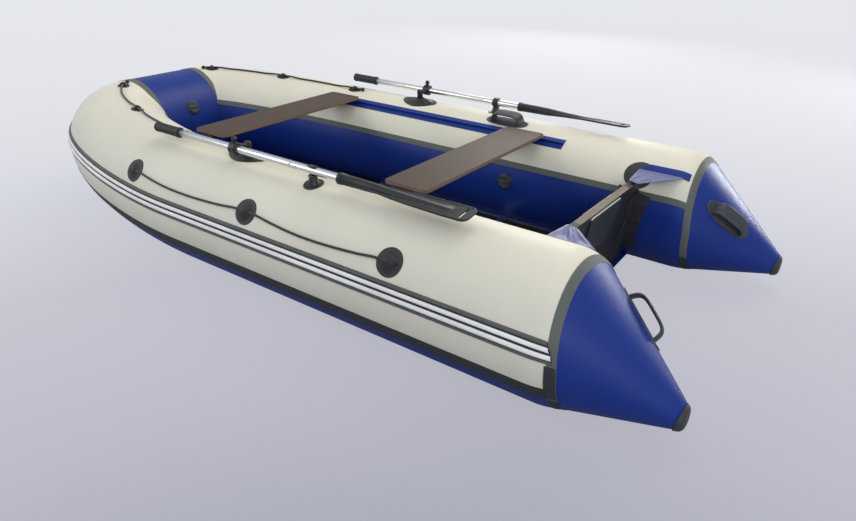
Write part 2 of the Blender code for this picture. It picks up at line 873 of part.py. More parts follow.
PORT_LIFELINE = (
    (0.504, 34.5, "lift"),
    (0.528, 34.5, "lift"),
    (0.578, 34.3, "lift"),
    (0.640, 32.6, "lie"),
    (0.730, 31.0, "lie"),
    (0.820, 30.2, "lie"),
    (0.910, 30.6, "lie"),
    (1.000, 32.4, "lie"),
    (1.065, 34.3, "lift"),
    (1.115, 34.5, "lift"),
    (1.165, 34.3, "lift"),
    (1.230, 32.6, "lie"),
    (1.325, 31.2, "lie"),
    (1.415, 30.6, "lie"),
    (1.505, 31.0, "lie"),
    (1.600, 32.6, "lie"),
    (1.665, 34.3, "lift"),
    (1.715, 34.5, "lift"),
    (1.739, 34.5, "lift"),
)
CROWN_ROPE = (
    (1.632, 97.0, "knot"),
    (1.650, 97.0, "lift"),
    (1.690, 97.0, "lift"),
    (1.735, 97.0, "lift"),
    (1.790, 96.6, "lie"),
    (1.860, 96.2, "lie"),
    (1.950, 96.2, "lie"),
    (2.020, 96.6, "lie"),
    (2.075, 97.0, "lift"),
    (2.120, 97.0, "lift"),
    (2.165, 97.0, "lift"),
    (2.220, 96.8, "lie"),
    (2.290, 96.6, "lie"),
    (2.360, 96.6, "lie"),
    (2.420, 96.8, "lie"),
    (2.475, 97.0, "lift"),
    (2.520, 97.0, "lift"),
    (2.558, 97.0, "lift"),
    (2.576, 97.0, "knot"),
)


def rope_route(stations, knot=1.0):
    """Points and radii of a rope on the tube between its fittings, with its knots' size."""
    lifts = {"lie": ROPE_RADIUS + LIE_GAP, "lift": ROPE_LIFT, "knot": KNOT_RADIUS + LIE_GAP}
    route = [(arc, angle, lifts[how]) for arc, angle, how in stations]
    first = route[0][0]
    last = route[-1][0]
    arcs = [first, first + KNOT_LENGTH * 0.25, first + KNOT_LENGTH * 0.75, first + KNOT_LENGTH]
    count = round((last - first - KNOT_LENGTH * 2) / ROPE_STEP)
    inner = last - KNOT_LENGTH - arcs[-1]
    arcs += [arcs[3] + inner * step / count for step in range(1, count + 1)]
    arcs += [last - KNOT_LENGTH * 0.75, last - KNOT_LENGTH * 0.25, last]
    tip = max(knot * 0.6, 1.0)
    radii = [tip, knot, knot, 1.0] + [1.0] * count + [knot, knot, tip]
    points = []
    for arc in arcs:
        angle, lift = smooth_station(route, arc)
        points.append(on_tube(arc, angle, lift))
    return points, radii


def smooth_station(route, arc):
    """Angle and lift at a length, on a smooth curve through the route's stations."""
    index = 0
    while index < len(route) - 2 and arc > route[index + 1][0]:
        index += 1
    before = route[max(index - 1, 0)]
    low = route[index]
    high = route[index + 1]
    after = route[min(index + 2, len(route) - 1)]
    span = high[0] - low[0]
    share = (arc - low[0]) / span
    values = []
    for k in (1, 2):
        slope_low = (high[k] - before[k]) / (high[0] - before[0])
        slope_high = (after[k] - low[k]) / (after[0] - low[0])
        values.append(hermite(low[k], high[k], slope_low * span, slope_high * span, share))
    return values[0], values[1]


def hermite(a, b, slope_a, slope_b, t):
    return (
        a * (2 * t ** 3 - 3 * t ** 2 + 1)
        + slope_a * (t ** 3 - 2 * t ** 2 + t)
        + b * (3 * t ** 2 - 2 * t ** 3)
        + slope_b * (t ** 3 - t ** 2)
    )


def make_ropes():
    points, radii = rope_route(PORT_LIFELINE)
    finish(swept(points, ROPE_RADIUS, 8, radii), "port_lifeline", "black_rope")
    points, radii = rope_route(CROWN_ROPE, KNOT_RADIUS / ROPE_RADIUS)
    pair(swept(points, ROPE_RADIUS, 8, radii), "crown_rope", "black_rope")


# Cutters that follow the tubes

def hull_cutter(lift):
    """Hull grown by a lift, kept for cutting the pieces that lie on it."""
    if lift not in HULL_CUTTERS:
        HULL_CUTTERS[lift] = hull_solid(lift)
    return HULL_CUTTERS[lift]


def cut_by_hull(item, lift):
    return boolean(item, hull_cutter(lift), "DIFFERENCE", keep=True)


def hug_tube(prism, low, high):
    """What a prism covers of the layer between two lifts off the hull."""
    boolean(prism, hull_cutter(high), "INTERSECT", keep=True)
    return cut_by_hull(prism, low)


def oval_outline(length, width, steps=18):
    outline = []
    for step in range(steps):
        turn = 2 * math.pi * step / steps
        outline.append((length / 2 * math.cos(turn), width / 2 * math.sin(turn)))
    return outline


def x_cylinder(radius, start, end, sides=24):
    """Cylinder along X about the origin of Y and Z."""
    made = cylinder(radius, start, end, sides)
    made.data.transform(Matrix.Rotation(math.radians(90), 4, "Y"))
    return made


# Bottom skin and keel

def skin_edge(arc):
    return on_tube(arc, SKIN_ANGLE)


def skin_depth(edge):
    """How far the middle of the bottom hangs below its edge."""
    wide = skin_edge(STRAIGHT_LENGTH / 2).y
    narrow = skin_edge(RING_ARC).y
    share = max((edge.y - narrow) / (wide - narrow), 0.0)
    return SKIN_DROP * share ** 0.6


def skin_row(edge, x):
    """Points across the bottom, lapped into the tubes at both ends."""
    middle = edge.z - skin_depth(edge)
    row = []
    for share in (1.0, 0.5, 0.0, -0.5, -1.0):
        lap = SKIN_LAP * (share if abs(share) == 1.0 else 0.0)
        y = edge.y * share + lap
        row.append((x, y, middle + (edge.z - middle) * abs(y) / edge.y))
    return row


def make_bottom_skin():
    last = skin_edge(RING_ARC)
    arcs = [SKIN_STERN] + [arc for arc in side_arcs() if arc > SKIN_STERN]
    edges = [skin_edge(arc) for arc in arcs[:3] + arcs[3::2]]
    rows = [skin_row(edge, edge.x) for edge in edges if edge.x < last.x - 0.004]
    rows.append(skin_row(last, last.x))
    rows.append(skin_row(last, last.x + SKIN_LAP))
    count = len(rows[0])
    points = [point for row in rows for point in row]
    faces = []
    for low in range(len(rows) - 1):
        for i in range(count - 1):
            a = low * count + i
            faces.append((a, a + 1, a + count + 1, a + count))
    mesh = bpy.data.meshes.new("skin")
    mesh.from_pydata(points, [], faces)
    skin = mesh_object("skin", mesh, CUTTERS)
    solidify = skin.modifiers.new("Solidify", "SOLIDIFY")
    solidify.thickness = SKIN_THICKNESS
    solidify.offset = 0
    skin = cut_by_hull(settle(skin), SEAT_GAP)
    finish(skin, "bottom_skin", "blue_fabric")


def skin_middle_height(x):
    """Height of the bottom's upper side on the centre line."""
    for arc in side_arcs():
        edge = skin_edge(arc)
        if edge.x >= x:
            return edge.z - skin_depth(edge) + SKIN_THICKNESS / 2 + KEEL_LIFT
    return edge.z


def make_keel():
    """Air keel between the bottom and the floor, thinner towards the bow."""
    roof = FLOOR_TOP - PANEL_THICKNESS - JOINER_WALL - SEAT_GAP * 2
    points = []
    radii = []
    for step in range(KEEL_STEPS + 1):
        x = SEAM_X + KEEL_START + (KEEL_END - KEEL_START) * step / KEEL_STEPS
        ground = skin_middle_height(x)
        radius = (roof - ground) / 2
        end = 0.75 if step in (0, KEEL_STEPS) else 1.0
        points.append((x, 0, (roof + ground) / 2))
        radii.append(radius * end)
    finish(swept(points, 1.0, 12, radii), "keel_tube", "grey_rubber")


# Floor

def make_floor():
    gap = JOINER_WALL / 2 + SEAT_GAP
    spans = {
        "aft": (FLOOR_START, JOINER_AFT - gap),
        "mid": (JOINER_AFT + gap, JOINER_FORE - gap),
        "fore": (JOINER_FORE + gap, FLOOR_END),
    }
    half = STRINGER_OUTSIDE - STRINGER_WALL - SEAT_GAP
    low = FLOOR_TOP - PANEL_THICKNESS
    for name, (start, end) in spans.items():
        panel = block((SEAM_X + start, -half, low), (SEAM_X + end, half, FLOOR_TOP), 0.001)
        if name == "fore":
            cut_by_hull(panel, FLOOR_CLEARANCE)
        finish(panel, "floor_panel_" + name, "black_plywood")
    make_joiners()
    make_stringers()


def make_joiners():
    half = STRINGER_OUTSIDE - STRINGER_WIDTH - SEAT_GAP
    side = JOINER_WIDTH / 2
    top = FLOOR_TOP + SEAT_GAP
    low = FLOOR_TOP - PANEL_THICKNESS - SEAT_GAP
    for name, x in (("aft", JOINER_AFT), ("fore", JOINER_FORE)):
        web = JOINER_WALL / 2
        profile = [
            (-side, top), (-web, top), (-web, low), (-side, low),
            (-side, low - JOINER_WALL), (side, low - JOINER_WALL),
            (side, low), (web, low), (web, top), (side, top),
            (side, top + JOINER_WALL), (-side, top + JOINER_WALL),
        ]
        joiner = slab(profile, half * 2)
        joiner.data.transform(Matrix(((1, 0, 0, 0), (0, 0, -1, 0), (0, 1, 0, 0), (0, 0, 0, 1))))
        joiner.data.transform(Matrix.Translation((SEAM_X + x, 0, 0)))
        finish(joiner, "floor_joiner_" + name, "aluminium")


def make_stringers():
    outside = STRINGER_OUTSIDE
    inside = outside - STRINGER_WIDTH
    web = outside - STRINGER_WALL
    top = FLOOR_TOP + SEAT_GAP
    low = FLOOR_TOP - PANEL_THICKNESS - SEAT_GAP
    profile = [
        (inside, top), (web, top), (web, low), (inside, low),
        (inside, low - STRINGER_WALL), (outside, low - STRINGER_WALL),
        (outside, top + STRINGER_WALL), (inside, top + STRINGER_WALL),
    ]
    length = STRINGER_END - STRINGER_START
    middle = SEAM_X + (STRINGER_END + STRINGER_START) / 2
    stringer = slab(profile, length)
    stringer.data.transform(Matrix(((0, 0, 1, middle), (1, 0, 0, 0), (0, 1, 0, 0), (0, 0, 0, 1))))
    pair(stringer, "stringer", "aluminium")


# Transom

def transom_matrix():
    """Frame at the middle of the top edge: X to port, Y up the board, Z forward."""
    rake = math.radians(TRANSOM_RAKE)
    up = Vector((-math.sin(rake), 0, math.cos(rake)))
    out = Vector((math.cos(rake), 0, math.sin(rake)))
    turned_frame = Matrix(((0, 1, 0), up, out)).transposed().to_4x4()
    return Matrix.Translation((SEAM_X + TRANSOM_X, 0, TRANSOM_TOP)) @ turned_frame


def board_height(z):
    """Place up the board of a height above the ground."""
    return (z - TRANSOM_TOP) / math.cos(math.radians(TRANSOM_RAKE))


def board_solid(thickness):
    edge = skin_edge(STRAIGHT_LENGTH / 2)
    foot = edge.z - SKIN_DROP + SKIN_THICKNESS / 2 + TRANSOM_FOOT_GAP
    slope = SKIN_DROP / edge.y
    shoulder = board_height(TRANSOM_TOP - TRANSOM_SHOULDER_DROP)
    side = [
        (TRANSOM_TOP_HALF_WIDTH, 0),
        (TRANSOM_SHOULDER_Y, shoulder),
        (TRANSOM_REACH, board_height(TUBE_RADIUS)),
        (TRANSOM_CHINE_Y, board_height(TRANSOM_CHINE_HEIGHT)),
        (TRANSOM_FOOT_Y, board_height(foot + slope * TRANSOM_FOOT_Y)),
    ]
    outline = side + [(0, board_height(foot))] + [(-x, y) for x, y in reversed(side)]
    return bake(slab(outline, thickness), transom_matrix())


def in_board_frame(item):
    return bake(item, transom_matrix())


def make_transom():
    board = cut_by_hull(board_solid(TRANSOM_THICKNESS), HOLDER_WALL + SEAT_GAP * 2)
    place = drain_matrix()
    bore = cylinder(DRAIN_NECK_RADIUS + SEAT_GAP, -TRANSOM_THICKNESS * 2, TRANSOM_THICKNESS, 14)
    boolean(board, bake(bore, place), "DIFFERENCE")
    finish(board, "transom_board", "black_plywood")
    face = TRANSOM_THICKNESS / 2 + SEAT_GAP
    for name, low, high in (
        ("inner", face, face + PAD_THICKNESS),
        ("outer", -face - PAD_THICKNESS, -face),
    ):
        outline = rounded_outline(PAD_WIDTH, PAD_HEIGHT, 0.012)
        pad = slab(outline, PAD_THICKNESS)
        drop = -PAD_DROP - PAD_HEIGHT / 2
        pad.data.transform(Matrix.Translation((0, drop, (low + high) / 2)))
        finish(in_board_frame(pad), "motor_pad_" + name, "pad_plastic")
    make_holders()
    make_gussets()
    make_drain()


def make_holders():
    """Black channel round each end of the board, with a flange on the tube."""
    low = board_height(HOLDER_LOW)
    high = board_height(HOLDER_TOP)
    half = TRANSOM_THICKNESS / 2 + SEAT_GAP + HOLDER_WALL
    collar = block((HOLDER_INSIDE, low, -half), (TRANSOM_REACH, high, half), HOLDER_EDGE)
    in_board_frame(collar)
    cut_by_hull(collar, SEAT_GAP)
    reach = half + HOLDER_FLANGE
    flange = block(
        (HOLDER_INSIDE, low + HOLDER_WALL, -reach), (TRANSOM_REACH + HOLDER_WALL, high - HOLDER_WALL, reach)
    )
    hug_tube(in_board_frame(flange), SEAT_GAP, HOLDER_WALL)
    boolean(collar, flange, "UNION")
    board = board_solid(TRANSOM_THICKNESS + SEAT_GAP * 2)
    cut_by_hull(board, HOLDER_WALL)
    boolean(collar, board, "DIFFERENCE")
    pair(collar, "transom_holder", "black_plastic")


def holder_room():
    """Space of the holder and its flange, with a running gap round it."""
    reach = TRANSOM_THICKNESS / 2 + SEAT_GAP + HOLDER_WALL + HOLDER_FLANGE + RUNNING_GAP
    low = board_height(HOLDER_LOW) - RUNNING_GAP
    high = board_height(HOLDER_TOP) + RUNNING_GAP
    end = TRANSOM_REACH + HOLDER_WALL * 2
    return in_board_frame(block((HOLDER_INSIDE - RUNNING_GAP, low, -reach), (end, high, reach)))


def make_gussets():
    """Folded web from the board's top corner to the tube, with its patch."""
    fore = on_tube(GUSSET_FORE_ARC, GUSSET_ANGLE, -GUSSET_SINK)
    aft = on_tube(GUSSET_AFT_ARC, GUSSET_ANGLE, -GUSSET_SINK)
    lift = GUSSET_THICKNESS / 2 + GUSSET_LIFT
    inside = transom_matrix() @ Vector((GUSSET_INSIDE_Y, lift, 0))
    forward_inside = inside + Vector((TRANSOM_THICKNESS / 2, 0, 0))
    aft_inside = inside - Vector((TRANSOM_THICKNESS / 2 + GUSSET_TAIL, 0, 0))
    along = (fore - aft).normalized()
    normal = along.cross(inside - aft).normalized()
    frame = frame_matrix(aft, along, -normal if normal.z < 0 else normal)
    flat = [frame.inverted() @ point for point in (aft, fore, forward_inside, aft_inside)]
    web = slab([(point.x, point.y) for point in flat], GUSSET_THICKNESS)
    bake(web, frame)
    disc = cylinder(GUSSET_PATCH_RADIUS, -0.03, 0.03, 20)
    bake(disc, tube_matrix(GUSSET_PATCH_ARC, GUSSET_PATCH_ANGLE))
    length = GUSSET_FORE_ARC - GUSSET_AFT_ARC
    half = GUSSET_TONGUE_WIDTH / 2
    strip = block((-length / 2, -half, -0.04), (length / 2, half, 0.04))
    middle = GUSSET_ANGLE - math.degrees(half / TUBE_RADIUS)
    bake(strip, tube_matrix(GUSSET_AFT_ARC + length / 2, middle))
    patch = boolean(disc, strip, "UNION")
    boolean(patch, hull_cutter(GUSSET_PATCH_THICKNESS), "INTERSECT", keep=True)
    boolean(patch, holder_room(), "DIFFERENCE")
    cut_by_hull(boolean(web, patch, "UNION"), SEAT_GAP)
    board = board_solid(TRANSOM_THICKNESS + SEAT_GAP * 2)
    boolean(web, board, "DIFFERENCE")
    pair(web, "gusset", "blue_fabric")


def drain_matrix():
    """Frame on the board's aft face at the drain, Z pointing aft."""
    place = transom_matrix()
    out = -place.to_3x3().col[2]
    origin = place @ Vector((DRAIN_Y, board_height(DRAIN_HEIGHT), -TRANSOM_THICKNESS / 2))
    return frame_matrix(origin, Vector((0, 1, 0)), out)


def make_drain():
    place = drain_matrix()
    top = 0.004
    flange = turned([
        (0, top), (DRAIN_RADIUS - 0.002, top), (DRAIN_RADIUS, 0.0015), (DRAIN_RADIUS, SEAT_GAP),
        (DRAIN_NECK_RADIUS, SEAT_GAP), (DRAIN_NECK_RADIUS, 0.002 - TRANSOM_THICKNESS),
        (0, 0.002 - TRANSOM_THICKNESS),
    ], 14)
    bore = cylinder(DRAIN_BORE_RADIUS + RUNNING_GAP, -TRANSOM_THICKNESS * 2, 0.01, 12)
    finish(bake(boolean(flange, bore, "DIFFERENCE"), place), "drain_flange", "black_plastic")
    seat = top + SEAT_GAP
    plug = turned([
        (0, seat + 0.004), (0.0105, seat + 0.004), (0.0115, seat + 0.003), (0.0115, seat),
        (DRAIN_BORE_RADIUS, seat), (DRAIN_BORE_RADIUS, -0.012), (0, -0.012),
    ], 12)
    grip = block((-0.009, -0.0025, seat + 0.003), (0.009, 0.0025, seat + 0.012))
    boolean(plug, grip, "UNION")
    finish(bake(plug, place), "drain_plug", "black_plastic", place.translation)


# Seats

def rail_arcs():
    """Lengths of the rail's corners: those of the tube's bend, and its own ends."""
    end = STRAIGHT_LENGTH + RAIL_REACH
    bend = [arc for arc in side_arcs() if STRAIGHT_LENGTH < arc < end - RAIL_WIDTH / 4]
    return [RAIL_START, STRAIGHT_LENGTH / 2, STRAIGHT_LENGTH] + bend + [end]


def rail_profile():
    """Glued flange, a web and the bead that the seats slide on."""
    half = math.degrees(RAIL_WIDTH / 2 / TUBE_RADIUS)
    facet = 360 / TUBE_SIDES
    low = RAIL_ANGLE - half
    high = RAIL_ANGLE + half
    back = [low] + [step * facet for step in range(TUBE_SIDES) if low < step * facet < high]
    back.append(high)
    outline = [polar(tube_facet_radius(a, SEAT_GAP), a) for a in back]
    top = SEAT_GAP + RAIL_FLANGE
    web = math.degrees(RAIL_WEB / 2 / TUBE_RADIUS)
    for angle in (high, RAIL_ANGLE + web):
        outline.append(polar(tube_facet_radius(angle, top), angle))
    centre = Vector(polar(TUBE_RADIUS + RAIL_BEAD_LIFT, RAIL_ANGLE))
    out = Vector(polar(1.0, RAIL_ANGLE))
    side = Vector((-out.y, out.x))
    open_angle = math.asin(RAIL_WEB / 2 / RAIL_BEAD_RADIUS)
    for step in range(8):
        turn = open_angle + (2 * math.pi - 2 * open_angle) * step / 7
        point = centre + (side * math.sin(turn) - out * math.cos(turn)) * RAIL_BEAD_RADIUS
        outline.append(tuple(point))
    for angle in (RAIL_ANGLE - web, low):
        outline.append(polar(tube_facet_radius(angle, top), angle))
    return outline


def polar(radius, angle):
    turn = math.radians(angle)
    return radius * math.cos(turn), radius * math.sin(turn)


def make_rails():
    points = [line_point(arc) for arc in rail_arcs()]
    pair(swept_profile(points, rail_profile()), "seat_rail", "blue_fabric")


def seat_height():
    """Height of the planks' underside above the ground."""
    bead = TUBE_RADIUS + (TUBE_RADIUS + RAIL_BEAD_LIFT) * math.sin(math.radians(RAIL_ANGLE))
    return bead + RAIL_BEAD_RADIUS + SEAT_LIFT


def bead_side(x):
    """Distance of the rail's bead from the middle plane, at a distance from the seam."""
    arcs = rail_arcs()
    beads = [on_tube(arc, RAIL_ANGLE, RAIL_BEAD_LIFT) for arc in arcs]
    for near, far in zip(beads, beads[1:]):
        if far.x >= SEAM_X + x:
            break
    share = (SEAM_X + x - near.x) / (far.x - near.x)
    return near.lerp(far, share).y


def shoe_side(x):
    """Middle of a shoe that fits the bead at its fore end and on the straight tube."""
    return (bead_side(x + SHOE_LENGTH / 2) + bead_side(RAIL_START + SHOE_LENGTH)) / 2


def shoe_half_width():
    return RAIL_BEAD_RADIUS + SHOE_PLAY + SHOE_WALL


def seat_length():
    """Planks reach over the shoes on the straight rails by their cover."""
    return 2 * (bead_side(RAIL_START + SHOE_LENGTH) - shoe_half_width() + SEAT_COVER)


def make_seats():
    low = seat_height()
    for name, reach in (("fore", FORE_SEAT_REACH), ("aft", -AFT_SEAT_BACK)):
        x = STRAIGHT_LENGTH + reach
        shoe_y = shoe_side(x)
        outline = rounded_outline(SEAT_WIDTH, seat_length(), SEAT_CORNER)
        plank = slab(outline, SEAT_THICKNESS, 0.003)
        middle = (SEAM_X + x, 0, low + SEAT_THICKNESS / 2)
        plank.data.transform(Matrix.Translation(middle))
        finish(plank, name + "_seat", "seat_plywood", middle)
        shoe = seat_shoe(SEAM_X + x, shoe_y, low)
        pair(shoe, name + "_seat_shoe", "black_plastic", middle)


def seat_shoe(x, y, low):
    """Channel under a plank's end, open below, astride the rail's bead."""
    outside = shoe_half_width()
    half = outside - SHOE_WALL
    top = low - SEAT_GAP
    start = x - SHOE_LENGTH / 2
    end = x + SHOE_LENGTH / 2
    shoe = block((start, y - outside, top - SHOE_DEPTH), (end, y + outside, top), 0.001)
    slot = block((start - 0.01, y - half, top - 0.06), (end + 0.01, y + half, top - 0.0027))
    boolean(shoe, slot, "DIFFERENCE")
    return cut_by_hull(shoe, RAIL_FLANGE + SEAT_GAP * 2)


# Oars

def oar_matrix():
    """Frame on the oar's axis at the seam's place, X forward."""
    return Matrix.Translation((SEAM_X, OAR_Y, OAR_HEIGHT))


def oar_pivot():
    return (SEAM_X + OARLOCK_X, OARLOCK_PIN_Y, OAR_HEIGHT)


def make_oars():
    pivot = oar_pivot()
    shaft = x_cylinder(
        OAR_RADIUS, BLADE_NECK_X - BLADE_SOCKET_DEPTH, OAR_GRIP_END - GRIP_LENGTH + GRIP_OVERLAP, 16
    )
    pocket = cylinder(BUTTON_RADIUS + SEAT_GAP, OAR_RADIUS - BUTTON_DEPTH - 0.0036, 0.03, 12)
    boolean(shaft, bake(pocket, button_matrix()), "DIFFERENCE")
    pair(bake(shaft, oar_matrix()), "oar_shaft", "aluminium", pivot)
    button = turned([
        (0, OAR_RADIUS + BUTTON_STAND), (BUTTON_RADIUS * 0.6, OAR_RADIUS + BUTTON_STAND * 0.85),
        (BUTTON_RADIUS, OAR_RADIUS + BUTTON_STAND * 0.4), (BUTTON_RADIUS, OAR_RADIUS - BUTTON_DEPTH),
        (0, OAR_RADIUS - BUTTON_DEPTH),
    ], 12)
    button_place = oar_matrix() @ button_matrix()
    centre = button_place @ Vector((0, 0, OAR_RADIUS))
    pair(bake(button, button_place), "oar_button", "steel", centre)
    pair(bake(oar_grip(), oar_matrix()), "oar_grip", "black_plastic", pivot)
    pair(bake(oar_blade(), oar_matrix()), "oar_blade", "black_plastic", pivot)
    make_oarlocks()
    make_clips()


def button_matrix():
    turn = math.radians(BUTTON_ANGLE)
    out = Vector((0, math.cos(turn), math.sin(turn)))
    return frame_matrix(Vector((BUTTON_X, 0, 0)), Vector((1, 0, 0)), out)


def oar_grip():
    """Grip with an end flange, a waist and a blind bore for the shaft."""
    low = OAR_GRIP_END - GRIP_LENGTH
    r = GRIP_RADIUS
    profile = [
        (0, OAR_GRIP_END), (r * 0.85, OAR_GRIP_END - 0.001), (r * 1.06, OAR_GRIP_END - 0.006),
        (r * 0.96, OAR_GRIP_END - 0.018), (r * 0.98, low + 0.022), (r * 1.08, low + 0.012),
        (r * 1.08, low), (0, low),
    ]
    grip = turned(profile, 14)
    grip.data.transform(Matrix.Rotation(math.radians(90), 4, "Y"))
    bore = x_cylinder(OAR_RADIUS + SEAT_GAP, low - 0.01, low + GRIP_OVERLAP + SEAT_GAP, 16)
    return boolean(grip, bore, "DIFFERENCE")


def oar_blade():
    """Socket, tapered rib and a flat blade with grooves and a slot at its tip."""
    neck = BLADE_NECK_X
    tip = BLADE_TIP_X
    half = BLADE_WIDTH / 2
    outline = [
        (neck - 0.075, 0.012), (neck - 0.11, 0.015), (neck - 0.16, half * 0.58),
        (neck - 0.22, half * 0.78), (neck - 0.30, half * 0.92), (tip + 0.08, half),
        (tip + 0.024, half), (tip + 0.010, half - 0.004), (tip + 0.002, half - 0.014),
        (tip, half - 0.022),
    ]
    outline += [(x, -y) for x, y in reversed(outline)]
    blade = slab(outline, BLADE_THICKNESS)
    for side in (-1, 1):
        for face in (-1, 1):
            z = face * BLADE_THICKNESS / 2
            low = (tip + 0.062, side * (half - 0.011) - 0.0025, z - 0.0013)
            high = (neck - 0.30, side * (half - 0.011) + 0.0025, z + 0.0013)
            boolean(blade, block(low, high), "DIFFERENCE")
    slot = block((tip + 0.024, 0.010 - half, -0.02), (tip + 0.032, half - 0.010, 0.02))
    boolean(blade, slot, "DIFFERENCE")
    rib_end = tip + 0.065
    rings = []
    for x, width, height in (
        (rib_end, 0.009, 0.0038), (rib_end + 0.08, 0.012, 0.006),
        (neck - 0.20, 0.0145, 0.011), (neck - BLADE_SOCKET_LENGTH, 0.0158, 0.0158),
        (neck - 0.012, BLADE_SOCKET_RADIUS, BLADE_SOCKET_RADIUS),
        (neck - 0.011, BLADE_SOCKET_RADIUS + 0.0015, BLADE_SOCKET_RADIUS + 0.0015),
        (neck, BLADE_SOCKET_RADIUS + 0.0015, BLADE_SOCKET_RADIUS + 0.0015),
    ):
        turns = [2 * math.pi * step / 12 for step in range(12)]
        rings.append([(x, width * math.cos(t), height * math.sin(t)) for t in turns])
    boolean(blade, loft(rings), "UNION")
    bore = x_cylinder(OAR_RADIUS + SEAT_GAP, neck - BLADE_SOCKET_DEPTH - SEAT_GAP, neck + 0.02, 16)
    boolean(blade, bore, "DIFFERENCE")
    blade.data.transform(Matrix.Rotation(math.radians(-BLADE_TILT), 4, "X"))
    return blade


def make_oarlocks():
    pivot = Vector(oar_pivot())
    surface = surface_height(OARLOCK_PIN_Y)
    base = oval_prism(OARLOCK_BASE_LENGTH, OARLOCK_BASE_WIDTH)
    base.data.transform(Matrix.Translation((pivot.x, pivot.y, surface)))
    hug_tube(base, SEAT_GAP, OARLOCK_BASE_HEIGHT)
    top = surface + OARLOCK_BOSS_HEIGHT
    boss = turned([
        (0, top), (OARLOCK_BOSS_RADIUS - 0.002, top), (OARLOCK_BOSS_RADIUS, top - 0.002),
        (OARLOCK_BOSS_RADIUS + 0.004, surface - 0.01), (0, surface - 0.01),
    ], 14)
    boss.data.transform(Matrix.Translation((pivot.x, pivot.y, 0)))
    cut_by_hull(boss, SEAT_GAP)
    boolean(base, boss, "UNION")
    bore = cylinder(OARLOCK_PIN_RADIUS + RUNNING_GAP, top - OARLOCK_PIN_DEPTH - 0.0005, top + 0.02, 12)
    bore.data.transform(Matrix.Translation((pivot.x, pivot.y, 0)))
    pair(boolean(base, bore, "DIFFERENCE"), "oarlock_base", "black_plastic")
    make_oarlock_ring(pivot, top)


def surface_height(y):
    """Height of the straight tube's upper side at a distance from the centre."""
    return TUBE_RADIUS + math.sqrt(TUBE_RADIUS ** 2 - (y - TUBE_SPACING) ** 2)


def oval_prism(length, width):
    return slab(oval_outline(length, width), 0.08)


def make_oarlock_ring(pivot, boss_top):
    """Ring round the shaft, an arm and the pin that turns in the base."""
    r = OARLOCK_RING_RADIUS
    half = OARLOCK_RING_WIDTH / 2
    ring = turned([(0, half), (r, half), (r, -half), (0, -half)], 18)
    ring.data.transform(Matrix.Rotation(math.radians(90), 4, "Y"))
    ring.data.transform(Matrix.Translation((pivot.x, OAR_Y, OAR_HEIGHT)))
    arm = block(
        (pivot.x - OARLOCK_ARM_WIDTH / 2, pivot.y - 0.010, OAR_HEIGHT - OARLOCK_ARM_HEIGHT / 2),
        (pivot.x + OARLOCK_ARM_WIDTH / 2, OAR_Y, OAR_HEIGHT + OARLOCK_ARM_HEIGHT / 2),
    )
    boolean(ring, arm, "UNION")
    pin = cylinder(OARLOCK_PIN_RADIUS, boss_top - OARLOCK_PIN_DEPTH, OAR_HEIGHT, 12)
    pin.data.transform(Matrix.Translation((pivot.x, pivot.y, 0)))
    boolean(ring, pin, "UNION")
    bore = x_cylinder(OAR_RADIUS + SEAT_GAP, -0.05, 0.05, 16)
    bore.data.transform(Matrix.Translation((pivot.x, OAR_Y, OAR_HEIGHT)))
    boolean(ring, bore, "DIFFERENCE")
    ring_top = OAR_HEIGHT + r
    hole = cylinder(KNOB_STEM_RADIUS + SEAT_GAP, ring_top - KNOB_STEM_DEPTH - SEAT_GAP, 1.0, 8)
    hole.data.transform(Matrix.Translation((pivot.x, OAR_Y, 0)))
    boolean(ring, hole, "DIFFERENCE")
    pair(ring, "oarlock", "black_plastic", pivot)
    make_knob(pivot.x, ring_top)


def make_knob(x, ring_top):
    """Round knob of the screw that grips the shaft."""
    collar = ring_top + SEAT_GAP
    centre = collar + 0.003 + KNOB_RADIUS * 0.85
    profile = []
    for step in range(5):
        turn = math.pi * 0.82 * step / 4
        profile.append((KNOB_RADIUS * math.sin(turn), centre + KNOB_RADIUS * math.cos(turn)))
    profile += [
        (0.0065, collar + 0.0015), (0.0065, collar), (KNOB_STEM_RADIUS, collar),
        (KNOB_STEM_RADIUS, ring_top - KNOB_STEM_DEPTH), (0, ring_top - KNOB_STEM_DEPTH),
    ]
    knob = turned(profile, 12)
    knob.data.transform(Matrix.Translation((x, OAR_Y, 0)))
    pair(knob, "oarlock_knob", "black_plastic", (x, OAR_Y, ring_top))


